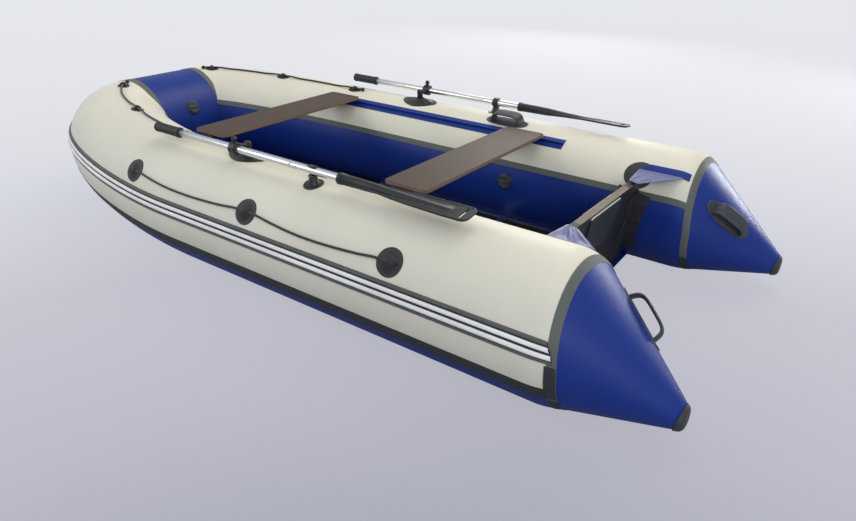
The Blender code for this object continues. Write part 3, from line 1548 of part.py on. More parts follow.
def make_clips():
    """Hook that holds the stowed shaft, open outboard, on a round pad."""
    inner = OAR_RADIUS + RUNNING_GAP
    outer = inner + CLIP_WALL
    outline = [(CLIP_JAW, -outer)]
    turns = [math.radians(270 - 180 * step / 8) for step in range(9)]
    outline += [(outer * math.cos(t), outer * math.sin(t)) for t in turns]
    outline += [(CLIP_JAW, outer), (CLIP_JAW, inner)]
    outline += [(inner * math.cos(t), inner * math.sin(t)) for t in reversed(turns)]
    outline.append((CLIP_JAW, -inner))
    hook = slab(outline, CLIP_WIDTH)
    hook.data.transform(Matrix(((0, 0, 1, 0), (1, 0, 0, 0), (0, 1, 0, 0), (0, 0, 0, 1))))
    x = SEAM_X + CLIP_ARC
    hook.data.transform(Matrix.Translation((x, OAR_Y, OAR_HEIGHT)))
    surface = surface_height(OAR_Y)
    foot = block(
        (x - CLIP_WIDTH / 2 - 0.002, OAR_Y - 0.011, surface - 0.01),
        (x + CLIP_WIDTH / 2 + 0.002, OAR_Y + 0.011, OAR_HEIGHT - inner - CLIP_WALL * 0.5),
        0.002,
    )
    cut_by_hull(foot, SEAT_GAP)
    boolean(hook, foot, "UNION")
    disc = cylinder(CLIP_PATCH_RADIUS, surface - 0.03, surface + 0.03, 16)
    disc.data.transform(Matrix.Translation((x, OAR_Y, 0)))
    boolean(hook, hug_tube(disc, SEAT_GAP, CLIP_PATCH_HEIGHT), "UNION")
    pair(hook, "oar_clip", "black_plastic")


# Carrying handles

def handle_arch():
    """Strap in XZ, extruded across, with its feet below the surface."""
    half = HANDLE_LENGTH / 2
    foot = 0.022
    outer = [(-half, -0.012), (-half, 0.006)]
    inner = [(-half + foot, -0.012), (-half + foot, 0.004)]
    for step in range(1, 6):
        share = step / 6
        x = -half + HANDLE_LENGTH * share
        rise = math.sin(math.pi * share) ** 0.55
        outer.append((x, 0.006 + (HANDLE_HEIGHT - 0.006) * rise))
        x_in = -half + foot + (HANDLE_LENGTH - 2 * foot) * share
        inner.append((x_in, 0.004 + (HANDLE_HEIGHT - HANDLE_BAR - 0.004) * rise))
    outer += [(half, 0.006), (half, -0.012)]
    inner += [(half - foot, 0.004), (half - foot, -0.012)]
    arch = slab(outer + inner[::-1], HANDLE_WIDTH, 0.002)
    arch.data.transform(Matrix(((1, 0, 0, 0), (0, 0, -1, 0), (0, 1, 0, 0), (0, 0, 0, 1))))
    return arch


def make_lift_handle():
    matrix = tube_matrix(LIFT_HANDLE_ARC, LIFT_HANDLE_ANGLE)
    arch = bake(handle_arch(), matrix)
    pad = bake(oval_prism(HANDLE_PAD_LENGTH, HANDLE_PAD_WIDTH), matrix)
    boolean(pad, hull_cutter(HANDLE_PAD_HEIGHT), "INTERSECT", keep=True)
    cut_by_hull(boolean(arch, pad, "UNION"), SEAT_GAP)
    port = finish(arch, "port_lift_handle", "black_plastic")
    starboard_copy(port)
    bpy.data.objects.remove(port, do_unlink=True)


def make_cone_handles():
    share = CONE_HANDLE_X / CONE_LENGTH
    origin = cone_point(share, CONE_HANDLE_ANGLE)
    fore = cone_point(share - 0.1, CONE_HANDLE_ANGLE)
    aft = cone_point(share + 0.1, CONE_HANDLE_ANGLE)
    side = cone_point(share, CONE_HANDLE_ANGLE + 4) - cone_point(share, CONE_HANDLE_ANGLE - 4)
    forward = (fore - aft).normalized()
    normal = forward.cross(side).normalized()
    normal = normal if normal.z > 0 else -normal
    matrix = frame_matrix(origin, forward, normal)
    arch = bake(handle_arch(), matrix)
    boolean(arch, cone_solid(SEAT_GAP), "DIFFERENCE")
    pad = bake(oval_prism(HANDLE_PAD_LENGTH, HANDLE_PAD_WIDTH), matrix)
    boolean(pad, cone_solid(HANDLE_PAD_HEIGHT), "INTERSECT")
    boolean(pad, cone_solid(SEAT_GAP), "DIFFERENCE")
    pair(boolean(arch, pad, "UNION"), "cone_handle", "black_plastic")


def build_boat():
    make_side_tubes()
    make_bow_tube()
    make_tow_ring()
    make_valve_caps()
    make_cones()
    make_strake()
    make_ropes()
    make_bottom_skin()
    make_keel()
    make_floor()
    make_transom()
    make_rails()
    make_seats()
    make_oars()
    make_lift_handle()
    make_cone_handles()
    for cutter in list(CUTTERS.objects):
        bpy.data.objects.remove(cutter, do_unlink=True)


clear_scene()
BOAT = make_collection("inflatable_boat")
CUTTERS = make_collection("cutters")
HULL_CUTTERS = {}
build_boat()
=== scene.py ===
"""Looks of an inflatable rowing boat: coated fabric, moulded rubber, ropes, oars and boards."""

import math

import bpy
from mathutils import Matrix, Vector
from mathutils.geometry import interpolate_bezier


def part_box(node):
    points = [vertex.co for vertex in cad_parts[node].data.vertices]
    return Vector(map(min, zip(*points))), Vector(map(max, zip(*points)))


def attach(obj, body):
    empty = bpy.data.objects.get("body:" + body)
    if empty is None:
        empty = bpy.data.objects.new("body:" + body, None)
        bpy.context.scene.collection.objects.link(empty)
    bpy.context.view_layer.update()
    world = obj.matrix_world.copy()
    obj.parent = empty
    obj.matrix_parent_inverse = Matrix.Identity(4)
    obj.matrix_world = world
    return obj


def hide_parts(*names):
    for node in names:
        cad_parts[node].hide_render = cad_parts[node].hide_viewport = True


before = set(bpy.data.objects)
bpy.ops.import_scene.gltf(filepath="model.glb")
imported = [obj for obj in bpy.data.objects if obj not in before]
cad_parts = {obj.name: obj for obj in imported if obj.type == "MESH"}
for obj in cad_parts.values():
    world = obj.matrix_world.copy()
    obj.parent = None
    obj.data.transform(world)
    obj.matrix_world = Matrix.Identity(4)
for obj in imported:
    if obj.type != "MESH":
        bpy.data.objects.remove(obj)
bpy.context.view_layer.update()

# Sizes are in metres. Angles round a tube start outboard and rise over its crown, in degrees.
# Lengths along the hull start at the port seam between tube and cone.

# The tubes' centre line, the bow ring, the cones and the seam's drawn in neck
SEAM_X = -1.2215
TUBE = 0.22
SPREAD = 0.514
STRAIGHT = 1.50
BOW_X = 1.2735
BOW_RISE = 0.042
RING_Y = 0.17
RING_STRAIGHT = 0.012
CONE_LENGTH = 0.258
CONE_TIP = 0.044
CONE_TIP_Z = 0.096
CONE_SPREAD = 0.012
SEAM_RADIUS = 0.2048
SEAM_DROP = 0.006
SEAM_IN = 0.003
SHOULDER = 0.075
SEAM_LEAN = 0.024
SEAM_FORE = 0.006
LEAN_REACH = 0.16
TIP_LEAN = 0.064

# Angles of the tapes and of the cream panel's edges
TAPE_HIGH = 157.5
TAPE_LOW = 151.5
BAND_TOP = -17.0
BAND_FOOT = -28.0
PANEL_FOOT = -22.0
PANEL_TOP = TAPE_LOW + 3
STRAKE_ANGLE = 12.0

# Fittings on the hull: lengths along it and angles round it
PATCH_ARCS = (0.528, 1.115, 1.715)
PATCH_ANGLE = 34.5
EYELET_ARCS = (1.690, 2.120, 2.520)
EYELET_ANGLE = 97.0
ROPE_LIFT = 0.0083
VALVE_PLACE = (0.732, 173.0)
BOW_VALVE_ANGLE = 156.0
TOW_RING_ANGLE = -26.0
LIFT_HANDLE_PLACE = (0.835, 103.0)
CONE_HANDLE_ARC = 0.108
CONE_HANDLE_ANGLE = 138.0
RAIL_ARCS = (0.545, 1.770)
RAIL_ANGLE = 121.0
TONGUE_ARCS = (0.026, 0.195)
TONGUE_ANGLES = (123.5, 131.5)
TONGUE_SLANT = 0.032
WEB_ANGLE = 131.0
GUSSET_PATCH_PLACE = (0.220, 136.5)

# Bottom, transom, oars and their fittings
BOTTOM_START = 0.235
BOTTOM_ANGLE = 240.0
BOTTOM_SAG = 0.024
TRANSOM_RAKE = 9.5
TRANSOM_PLACE = (SEAM_X + 0.205, 0, 0.375)
PIN_Y = 0.500
OARLOCK_X = SEAM_X + 1.31
CLIP_X = SEAM_X + 0.945
OAR_Y = 0.555
OAR_Z = 0.480
OAR_RADIUS = 0.0125
BUTTON_X = 1.04
BUTTON_ANGLE = 40.0
BLADE_TURN = -8.0

CAMERA = (-1.77392521, 2.02353856, 1.21092338)
CAMERA_TURN = (1.104788, -0.013509, -2.5139)
CAMERA_LENS = 29.278

# Each lamp's place, the point it faces, its size, power and colour.
LAMPS = (
    ((-0.6, -2.4, 4.2), (0.0, 0.0, 0.2), 3.0, 84, (1.0, 0.93, 0.76)),
    ((-4.6, 3.4, 2.6), (-0.6, 0.2, 0.2), 3.0, 90, (0.89, 0.94, 1.0)),
    ((3.6, 3.0, 2.8), (0.6, 0.2, 0.3), 2.6, 62, (0.95, 0.97, 1.0)),
    ((1.6, -5.2, 1.9), (0.0, 0.0, 0.3), 2.4, 75, (1.0, 0.99, 0.96)),
    ((-2.5, -4.9, 1.1), (-1.1, 0.0, 0.3), 1.3, 66, (0.97, 0.98, 1.0)),
)


# Camera, lamps and stage

def set_up_camera():
    bpy.ops.object.camera_add(location=CAMERA, rotation=CAMERA_TURN)
    camera = bpy.context.object
    camera.data.sensor_width = 36.0
    camera.data.lens = CAMERA_LENS
    camera.data.clip_end = 200
    bpy.context.scene.camera = camera


def set_up_light():
    scene = bpy.context.scene
    scene.view_settings.view_transform = "Standard"
    scene.world = bpy.data.worlds.new("studio")
    scene.world.use_nodes = True
    sky = scene.world.node_tree.nodes["Background"]
    sky.inputs["Color"].default_value = (0.90, 0.93, 1.0, 1.0)
    sky.inputs["Strength"].default_value = 0.58
    for spot, aim, size, power, colour in LAMPS:
        bpy.ops.object.light_add(type="AREA", location=spot)
        lamp = bpy.context.object
        lamp.rotation_euler = (Vector(aim) - Vector(spot)).to_track_quat("-Z", "Y").to_euler()
        lamp.data.shape = "DISK"
        lamp.data.size = size
        lamp.data.energy = power
        lamp.data.color = colour


def lay_floor(finish):
    bpy.ops.mesh.primitive_plane_add(size=80, location=(0, 0, -0.0005))
    floor = bpy.context.object
    floor.name = "studio_floor"
    floor.data.materials.append(finish)


# Lines of the hull

def centre_line():
    """Port half of the tube's centre line: lengths from the seam and points."""
    top = TUBE + BOW_RISE
    start = Vector((SEAM_X + STRAIGHT, SPREAD, TUBE))
    ring = Vector((BOW_X, RING_Y + RING_STRAIGHT, top))
    handles = start + Vector((0.40, 0, 0)), ring + Vector((0, 0.20, 0))
    bend = interpolate_bezier(start, *handles, ring, 160)
    points = [Vector((SEAM_X, SPREAD, TUBE))] + bend + [Vector((BOW_X, 0, top))]
    lengths = [0.0]
    for a, b in zip(points, points[1:]):
        lengths.append(lengths[-1] + (b - a).length)
    return lengths, points


LENGTHS, LINE = centre_line()
MIDDLE = LENGTHS[-1]
RING = MIDDLE - RING_Y


def line_at(arc):
    index = 1
    while index < len(LENGTHS) - 1 and arc > LENGTHS[index]:
        index += 1
    share = (arc - LENGTHS[index - 1]) / (LENGTHS[index] - LENGTHS[index - 1])
    return LINE[index - 1].lerp(LINE[index], share)


def line_frame(arc):
    """Centre, forward, outward and upward directions at a length on the port half."""
    centre = line_at(arc)
    forward = (line_at(min(arc + 0.02, MIDDLE)) - line_at(arc - 0.02)).normalized()
    if arc > MIDDLE - 0.02:
        forward = Vector((0, -1, 0))
    outward = Vector((0, 0, 1)).cross(forward).normalized()
    return centre, forward, outward, forward.cross(outward)


def lean(angle):
    """How far forward of its lowest place the end seam runs, at an angle round the tube."""
    return SEAM_FORE + SEAM_LEAN * max(math.sin(math.radians(angle)), 0.0)


def on_hull(arc, angle, lift=0.0):
    """Point on the hull, from the port seam round the bow to the starboard seam."""
    if arc > MIDDLE:
        point = on_hull(2 * MIDDLE - arc, angle, lift)
        return Vector((point.x, -point.y, point.z))
    if arc < 0:
        return on_cone(-arc / CONE_LENGTH, angle, lift)
    centre, _, outward, upward = line_frame(arc + lean(angle) * max(1 - arc / LEAN_REACH, 0.0))
    drawn = max(0.0, 1.0 - arc / SHOULDER) ** 2
    turn = math.radians(angle)
    radius = TUBE + lift - (TUBE - SEAM_RADIUS) * drawn
    centre = centre - (outward * SEAM_IN + upward * SEAM_DROP) * drawn
    return centre + (outward * math.cos(turn) + upward * math.sin(turn)) * radius


def cone_ring(share):
    """Centre height, outboard shift and radius at a share of the cone's length."""
    height = TUBE - SEAM_DROP + (CONE_TIP_Z - TUBE + SEAM_DROP) * share
    shift = CONE_SPREAD * share - SEAM_IN * (1 - share)
    return height, shift, SEAM_RADIUS + (CONE_TIP - SEAM_RADIUS) * share


def on_cone(share, angle, lift=0.0):
    height, shift, radius = cone_ring(share)
    turn = math.radians(angle)
    radius += lift
    along = lean(angle) * max(1 - share, 0.0) - CONE_LENGTH * share
    return Vector((SEAM_X + along, SPREAD + shift + radius * math.cos(turn),
                   height + radius * math.sin(turn)))


def frame_of(origin, forward, normal):
    """Frame with Z along the normal and X as near forward as that allows."""
    side = normal.cross(forward).normalized()
    along = side.cross(normal)
    turned_frame = Matrix((along, side, normal)).transposed().to_4x4()
    return Matrix.Translation(origin) @ turned_frame


def hull_frame(arc, angle):
    """Frame on the tube: X forward, Z out of the fabric."""
    low = max(arc - 0.012, 0)
    high = min(arc + 0.012, MIDDLE)
    forward = (on_hull(high, angle) - on_hull(low, angle)).normalized()
    normal = (on_hull(arc, angle) - on_hull(arc, angle, -TUBE)).normalized()
    return frame_of(on_hull(arc, angle), forward, normal)


def cone_frame(share, angle):
    """Frame on the cone, as on the tube."""
    forward = (on_cone(share - 0.1, angle) - on_cone(share + 0.1, angle)).normalized()
    side = on_cone(share, angle + 4) - on_cone(share, angle - 4)
    normal = forward.cross(side).normalized()
    return frame_of(on_cone(share, angle), forward, normal if normal.z > 0 else -normal)


# Modelling steps

def pick(*items):
    bpy.ops.object.select_all(action="DESELECT")
    for item in items:
        item.select_set(True)
    bpy.context.view_layer.objects.active = items[-1]


def edit(item, *steps):
    """Run edit mode steps on the whole piece."""
    pick(item)
    bpy.ops.object.mode_set(mode="EDIT")
    bpy.ops.mesh.select_all(action="SELECT")
    for step in steps:
        step()
    bpy.ops.object.mode_set(mode="OBJECT")
    return item


def modify(item, kind, **settings):
    """Give a piece a modifier and apply it."""
    pick(item)
    modifier = item.modifiers.new(kind, kind)
    for key, value in settings.items():
        setattr(modifier, key, value)
    bpy.ops.object.modifier_apply(modifier=modifier.name)
    return item


def weld():
    bpy.ops.mesh.remove_doubles(threshold=0.00002)


def face_out():
    bpy.ops.mesh.normals_make_consistent(inside=False)


def close_ends():
    bpy.ops.mesh.select_all(action="SELECT")
    bpy.ops.mesh.fill_holes(sides=0)
    bpy.ops.mesh.select_all(action="SELECT")


def place(item, matrix=Matrix.Identity(4)):
    """Write a piece's place, and a further move, into its mesh."""
    item.data.transform(item.matrix_basis)
    item.matrix_basis = Matrix.Identity(4)
    item.data.transform(matrix)
    return item


def moved(item, *to):
    return place(item, Matrix.Translation(to))


def spun(item, degrees, axis):
    return place(item, Matrix.Rotation(math.radians(degrees), 4, axis))


def lie_along_x(item):
    return spun(item, 90, "Y")


def stand_across_x(item):
    """Stand a flat outline up, its own X along Y and its own Y upwards."""
    return place(item, Matrix(((0, 0, 1, 0), (1, 0, 0, 0), (0, 1, 0, 0), (0, 0, 0, 1))))


def bevel(item, width, segments=2):
    return modify(item, "BEVEL", width=width, segments=segments, limit_method="ANGLE",
                  angle_limit=math.radians(30))


def cut(item, tool, operation="DIFFERENCE"):
    modify(item, "BOOLEAN", object=tool, operation=operation, solver="EXACT")
    bpy.data.objects.remove(tool, do_unlink=True)
    return item


def fuse(item, tool):
    return cut(item, tool, "UNION")


def thicken(item, thickness, offset=1.0):
    return modify(item, "SOLIDIFY", thickness=thickness, offset=offset)


def turned(profile, steps=48):
    """Turn a profile of radius and height about Z."""
    bpy.ops.mesh.primitive_plane_add(size=1)
    item = bpy.context.object
    item.data.clear_geometry()
    item.data.from_pydata(
        [(r, 0, z) for r, z in profile], [(i, i + 1) for i in range(len(profile) - 1)], []
    )
    modify(item, "SCREW", steps=steps, render_steps=steps, use_merge_vertices=True,
           merge_threshold=0.00005)
    return edit(item, weld, face_out)


def plate(outline, thickness, height=0.0):
    """Flat outline in XY, drawn out to a thickness about a height."""
    bpy.ops.mesh.primitive_circle_add(vertices=len(outline), fill_type="NGON")
    item = bpy.context.object
    for vertex, (x, y) in zip(item.data.vertices, outline):
        vertex.co = (x, y, height - thickness / 2)
    rise = {"value": (0, 0, thickness)}
    edit(
        item,
        lambda: bpy.ops.mesh.extrude_region_move(TRANSFORM_OT_translate=rise),
        lambda: bpy.ops.mesh.select_all(action="SELECT"),
        face_out,
    )
    return item


def box(low, high):
    low, high = Vector(low), Vector(high)
    bpy.ops.mesh.primitive_cube_add(size=1)
    size = Matrix.Diagonal((*(high - low), 1))
    return place(bpy.context.object, Matrix.Translation((low + high) / 2) @ size)


def rod(radius, low, high, sides=32):
    """Round bar along Z."""
    bpy.ops.mesh.primitive_cylinder_add(
        vertices=sides, radius=radius, depth=high - low, location=(0, 0, (low + high) / 2)
    )
    return place(bpy.context.object)


def tube_along(points, radius, sides=3, radii=None, closed=False, mesh=True):
    """Round bar along a smooth line of points."""
    curve = bpy.data.curves.new("route", "CURVE")
    curve.dimensions = "3D"
    curve.bevel_depth = radius
    curve.bevel_resolution = sides
    curve.use_fill_caps = not closed
    spline = curve.splines.new("POLY")
    spline.points.add(len(points) - 1)
    for index, point in enumerate(points):
        spline.points[index].co = (*point, 1)
        spline.points[index].radius = radii[index] if radii else 1.0
    spline.use_cyclic_u = closed
    item = bpy.data.objects.new("route", curve)
    bpy.context.collection.objects.link(item)
    if mesh:
        pick(item)
        bpy.ops.object.convert(target="MESH")
        item = bpy.context.object
        edit(item, weld, face_out)
    return item


def rounded(points, rounds=3):
    """Softer line through a route's corners."""
    for _ in range(rounds):
        finer = [points[0]]
        for a, b in zip(points, points[1:]):
            finer += [a.lerp(b, 0.25), a.lerp(b, 0.75)]
        points = finer + [points[-1]]
    return points


def join(first, *others):
    pick(*others, first)
    bpy.ops.object.join()
    return first


def stops(low, high, step):
    count = max(round((high - low) / step), 1)
    return [low + (high - low) * index / count for index in range(count + 1)]


def arc_points(x, y, wide, tall, start, end, steps):
    """Points on an oval's outline about a centre, from one angle in degrees to another."""
    turns = [math.radians(start + (end - start) * step / steps) for step in range(steps + 1)]
    return [(x + wide * math.cos(turn), y + tall * math.sin(turn)) for turn in turns]


def squared(value, power):
    """Sine or cosine raised to a power with its sign kept, which squares a round section."""
    return math.copysign(abs(value) ** power, value)


def lengths_along(start, end):
    """Rows of fabric along the hull, close together at its drawn in seam and in its bend."""
    rows = stops(start, 0.09, 0.009) if start < SHOULDER else [start]
    rows += stops(rows[-1], STRAIGHT, 0.05)[1:]
    return rows + stops(STRAIGHT, end, 0.018)[1:]


def sheet(columns, rows, point):
    """Grid whose points go where a function of their column and row puts them."""
    bpy.ops.mesh.primitive_grid_add(x_subdivisions=columns, y_subdivisions=rows, size=1)
    item = bpy.context.object
    for vertex in item.data.vertices:
        column = round((vertex.co.x + 0.5) * columns)
        vertex.co = point(column, round((vertex.co.y + 0.5) * rows))
    return item


def skin(columns, rows, point):
    """Closed body made from a grid whose long sides meet."""
    return edit(sheet(columns, rows, point), weld, close_ends, face_out)


def rolled(arcs, angles, lift=0.0, lifts=None, slant=None):
    """Grid of fabric, rolled onto the hull at these lengths and angles, its ends slanted."""
    columns, rows = len(arcs) - 1, len(angles) - 1

    def point(column, row):
        arc = arcs[column] + (slant(arcs[column], angles[row]) if slant else 0.0)
        return on_hull(arc, angles[row], lifts[row] if lifts else lift)

    item = sheet(columns, rows, point)
    for loop in item.data.uv_layers[0].data:
        angle = angles[round(loop.uv.y * rows)]
        loop.uv = (arcs[round(loop.uv.x * columns)], math.radians(angle) * TUBE)
    return edit(item, lambda: bpy.ops.mesh.flip_normals())


def drape_on_tube(item):
    """Bend a flat fitting, made about its seat, down round the tube."""
    for vertex in item.data.vertices:
        side = min(abs(vertex.co.y), TUBE * 0.98)
        vertex.co.z -= TUBE - math.sqrt(TUBE ** 2 - side ** 2)
    return item


def ribbed_rim(item, reach, growth):
    """Widen or narrow a turned piece's rim by a function of the angle round it."""
    for vertex in item.data.vertices:
        x, y, z = vertex.co
        if math.hypot(x, y) > reach:
            grow = growth(math.atan2(y, x))
            vertex.co = (x * grow, y * grow, z)
    return item


def paint(item, finishes, choose):
    """Give each face of a rolled piece the finish that its angle round the tube asks for."""
    item.data.materials.clear()
    for finish in finishes:
        item.data.materials.append(finish)
    uv = item.data.uv_layers[0].data
    for face in item.data.polygons:
        level = sum(uv[i].uv.y for i in face.loop_indices) / len(face.loop_indices)
        face.material_index = choose(math.degrees(level / TUBE))


def coat(item, finish):
    item.data.materials.clear()
    item.data.materials.append(finish)


def hand_over(item, name, body, finish=None, nodes=(), angle=35):
    """Name a finished piece, dress it and hang it on its body."""
    item.name = name
    item.data.name = name
    if finish:
        coat(item, finish)
    if item.type == "MESH":
        pick(place(item))
        bpy.ops.object.shade_smooth_by_angle(angle=math.radians(angle))
    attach(item, body)
    if nodes:
        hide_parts(*nodes)
    return item


def mirrored(item):
    """Turn a port piece into its starboard form."""
    item.data.transform(Matrix.Scale(-1, 4, (0, 1, 0)))
    item.data.flip_normals()
    return item


def starboard_twin(item):
    """Mirror image of a port piece, with its own mesh."""
    twin = item.copy()
    twin.data = item.data.copy()
    bpy.context.collection.objects.link(twin)
    return mirrored(twin)


def hand_over_pair(item, name, body, finish=None, nodes=(), angle=35):
    """Hand over a port piece and its starboard twin."""
    twin = starboard_twin(item)
    for side, piece in (("port", item), ("starboard", twin)):
        own_nodes = [node.format(side=side) for node in nodes]
        hand_over(piece, f"{side}_{name}", body.format(side=side), finish, own_nodes, angle)


# Finishes

def put(tree, slot, value):
    """Link an output to a socket, or set the socket's value. Colours are fully opaque."""
    if isinstance(value, bpy.types.NodeSocket):
        tree.links.new(value, slot)
    else:
        slot.default_value = (*value, 1.0) if slot.type == "RGBA" else value


def node(tree, kind, settings=None, **links):
    """Add a node, set its options, and feed its inputs with values or outputs."""
    made = tree.nodes.new("ShaderNode" + kind)
    for key, value in (settings or {}).items():
        setattr(made, key, value)
    for key, value in links.items():
        name = int(key[1:]) if key[1:].isdigit() else key.replace("_", " ")
        put(tree, made.inputs[name], value)
    return made


def maths(tree, operation, a, b=0.0, c=0.0):
    return node(tree, "Math", {"operation": operation}, i0=a, i1=b, i2=c).outputs[0]


def spread(tree, value, low, high, to_low=0.0, to_high=1.0, ease="LINEAR"):
    """Stretch one range of values over another."""
    made = node(tree, "MapRange", {"interpolation_type": ease}, Value=value, From_Min=low,
                From_Max=high, To_Min=to_low, To_Max=to_high)
    return made.outputs[0]


def blend(tree, share, a, b):
    return node(tree, "Mix", {"data_type": "RGBA"}, i0=share, i6=a, i7=b).outputs[2]


def where_on(tree, map_name="Object"):
    """Place on the piece itself, or on its own map."""
    return node(tree, "TexCoord").outputs[map_name]


def parts_of(tree, vector):
    return node(tree, "SeparateXYZ", None, i0=vector).outputs


def stretched(tree, where, scale):
    return node(tree, "Mapping", None, Vector=where, Scale=scale).outputs[0]


def noise(tree, where, scale, detail, roughness, distortion=0.0):
    made = node(tree, "TexNoise", None, Vector=where, Scale=scale, Detail=detail,
                Roughness=roughness, Distortion=distortion)
    return made.outputs["Fac"]


def ripples(tree, value, pitch):
    return maths(tree, "SINE", maths(tree, "MULTIPLY", value, 2 * math.pi / pitch))


def start_effect(name, inputs, outputs):
    """Node group shared by finishes, with the sockets of its two ends."""
    tree = bpy.data.node_groups.new(name, "ShaderNodeTree")
    for way, labels in (("INPUT", inputs), ("OUTPUT", outputs)):
        for label, kind in labels.items():
            tree.interface.new_socket(label, in_out=way, socket_type="NodeSocket" + kind)
    given = tree.nodes.new("NodeGroupInput").outputs
    return tree, given, tree.nodes.new("NodeGroupOutput").inputs


def weave_effect():
    """Fine cross weave of coated fabric, from the piece's own map in metres."""
    tree, given, result = start_effect("fabric_weave", {"Pitch": "Float", "Map": "Vector"},
                                       {"Height": "Float"})
    turns = [maths(tree, "DIVIDE", part, given["Pitch"])
             for part in parts_of(tree, given["Map"])[:2]]
    waves = [ripples(tree, turn, 1.0) for turn in turns]
    crossed = maths(tree, "MULTIPLY", *waves)
    put(tree, result["Height"], spread(tree, crossed, -1.0, 1.0))
    return tree


def tone_effect():
    """Slow change of tone over a surface, as cloth and rubber have."""
    tree, given, result = start_effect(
        "uneven_tone", {"Colour": "Color", "Amount": "Float", "Size": "Float"},
        {"Colour": "Color", "Mask": "Float"}
    )
    wide = noise(tree, where_on(tree), given["Size"], 4.0, 0.55)
    mask = spread(tree, wide, 0.3, 0.7, -1.0, 1.0)
    gain = maths(tree, "MULTIPLY_ADD", mask, given["Amount"], 1.0)
    bright = node(tree, "VectorMath", {"operation": "SCALE"}, i0=given["Colour"], Scale=gain)
    put(tree, result["Colour"], bright.outputs[0])
    put(tree, result["Mask"], spread(tree, mask, -1.0, 1.0))
    return tree


def dust_effect():
    """Pale dust that gathers low down and in patches."""
    tree, given, result = start_effect(
        "settled_dust", {"Colour": "Color", "Dust": "Color", "Amount": "Float", "Reach": "Float"},
        {"Colour": "Color", "Mask": "Float"}
    )
    where = where_on(tree)
    height = maths(tree, "DIVIDE", parts_of(tree, where)[2], given["Reach"])
    low = node(tree, "Clamp", None, Value=maths(tree, "SUBTRACT", 1.0, height)).outputs[0]
    patchy = spread(tree, noise(tree, where, 14.0, 5.0, 0.6), 0.38, 0.66, 0.25, 1.0)
    mask = maths(tree, "MULTIPLY", maths(tree, "MULTIPLY", low, patchy), given["Amount"])
    put(tree, result["Colour"], blend(tree, mask, given["Colour"], given["Dust"]))
    put(tree, result["Mask"], mask)
    return tree


def grain_effect():
    """Fine moulded grain with a few rub marks."""
    tree, given, result = start_effect("moulded_grain", {"Size": "Float", "Marks": "Float"},
                                       {"Height": "Float", "Rub": "Float"})
    where = where_on(tree)
    rub = spread(tree, noise(tree, where, 38.0, 6.0, 0.7), 0.48, 0.72)
    put(tree, result["Height"], noise(tree, where, given["Size"], 2.0, 0.5))
    put(tree, result["Rub"], maths(tree, "MULTIPLY", rub, given["Marks"]))
    return tree


def group(tree, effect, **links):
    """Place an effect in a finish, with its own values."""
    made = tree.nodes.new("ShaderNodeGroup")
    made.node_tree = effect
    for key, value in links.items():
        put(tree, made.inputs[key], value)
    return made.outputs


def blank(name, **sockets):
    """New material with its shader's plain values set."""
    made = bpy.data.materials.new(name)
    made.use_nodes = True
    tree = made.node_tree
    shader = tree.nodes["Principled BSDF"]
    for key, value in sockets.items():
        shader.inputs[key.replace("_", " ")].default_value = value
    return made, tree, shader


def feed(tree, shader, colour=None, roughness=None, height=None, strength=0.1, distance=0.001):
    if colour:
        tree.links.new(colour, shader.inputs["Base Color"])
    if roughness:
        tree.links.new(roughness, shader.inputs["Roughness"])
    if height:
        bump = node(tree, "Bump", None, Height=height, Strength=strength, Distance=distance)
        tree.links.new(bump.outputs["Normal"], shader.inputs["Normal"])


def coated_fabric(name, colour, roughness, dust=0.12, dust_tone=(0.30, 0.29, 0.26), gloss=0.06):
    """Welded fabric: faint weave, slow waves, soft sheen of its coating."""
    made, tree, shader = blank(name, Coat_Weight=gloss, Coat_Roughness=0.30,
                               Specular_IOR_Level=0.22)
    toned = group(tree, TONE, Colour=colour, Amount=0.045, Size=2.6)
    dusty = group(tree, DUST, Colour=toned["Colour"], Dust=dust_tone, Amount=dust, Reach=0.16)
    weave = group(tree, WEAVE, Map=where_on(tree, "UV"), Pitch=0.0018)
    waves = noise(tree, where_on(tree), 9.0, 3.0, 0.45)
    relief = maths(tree, "MULTIPLY_ADD", waves, 5.0, weave["Height"])
    rough = spread(tree, toned["Mask"], 0.0, 1.0, roughness - 0.05, roughness + 0.07)
    feed(tree, shader, dusty["Colour"], rough, relief, 0.22, 0.0004)
    return made


def upward(tree):
    """How far a face looks up."""
    return parts_of(tree, node(tree, "NewGeometry").outputs["Normal"])[2]


def moulded(name, colour, roughness, grain=0.16, size=900.0, marks=0.5, top=None):
    """Moulded rubber or plastic: fine grain, rubbed patches and, if asked, a painted highlight in
    the top colour on the faces that look up.
    """
    made, tree, shader = blank(name, Specular_IOR_Level=0.5)
    toned = group(tree, TONE, Colour=colour, Amount=0.10, Size=9.0)
    texture = group(tree, GRAIN, Size=size, Marks=marks)
    lighter = tuple(min(c * 1.5 + 0.012, 1.0) for c in colour)
    wear_and_painted_top = blend(tree, texture["Rub"], toned["Colour"], lighter)
    # Painted highlight: faces that look up are blended towards the top colour, as if lit from
    # above.
    if top:
        wear_and_painted_top = blend(tree, spread(tree, upward(tree), 0.55, 0.75), wear_and_painted_top, top)
    rough = spread(tree, texture["Rub"], 0.0, 0.5, roughness, roughness + 0.14)
    feed(tree, shader, wear_and_painted_top, rough, texture["Height"], grain, 0.0003)
    return made


def tape_finish(name, colour):
    """Glued rubberised tape with a pressed cross weave."""
    made, tree, shader = blank(name, Specular_IOR_Level=0.4)
    toned = group(tree, TONE, Colour=colour, Amount=0.08, Size=5.0)
    weave = group(tree, WEAVE, Map=where_on(tree, "UV"), Pitch=0.0024)
    rough = spread(tree, toned["Mask"], 0.0, 1.0, 0.52, 0.66)
    feed(tree, shader, toned["Colour"], rough, weave["Height"], 0.35, 0.0004)
    return made


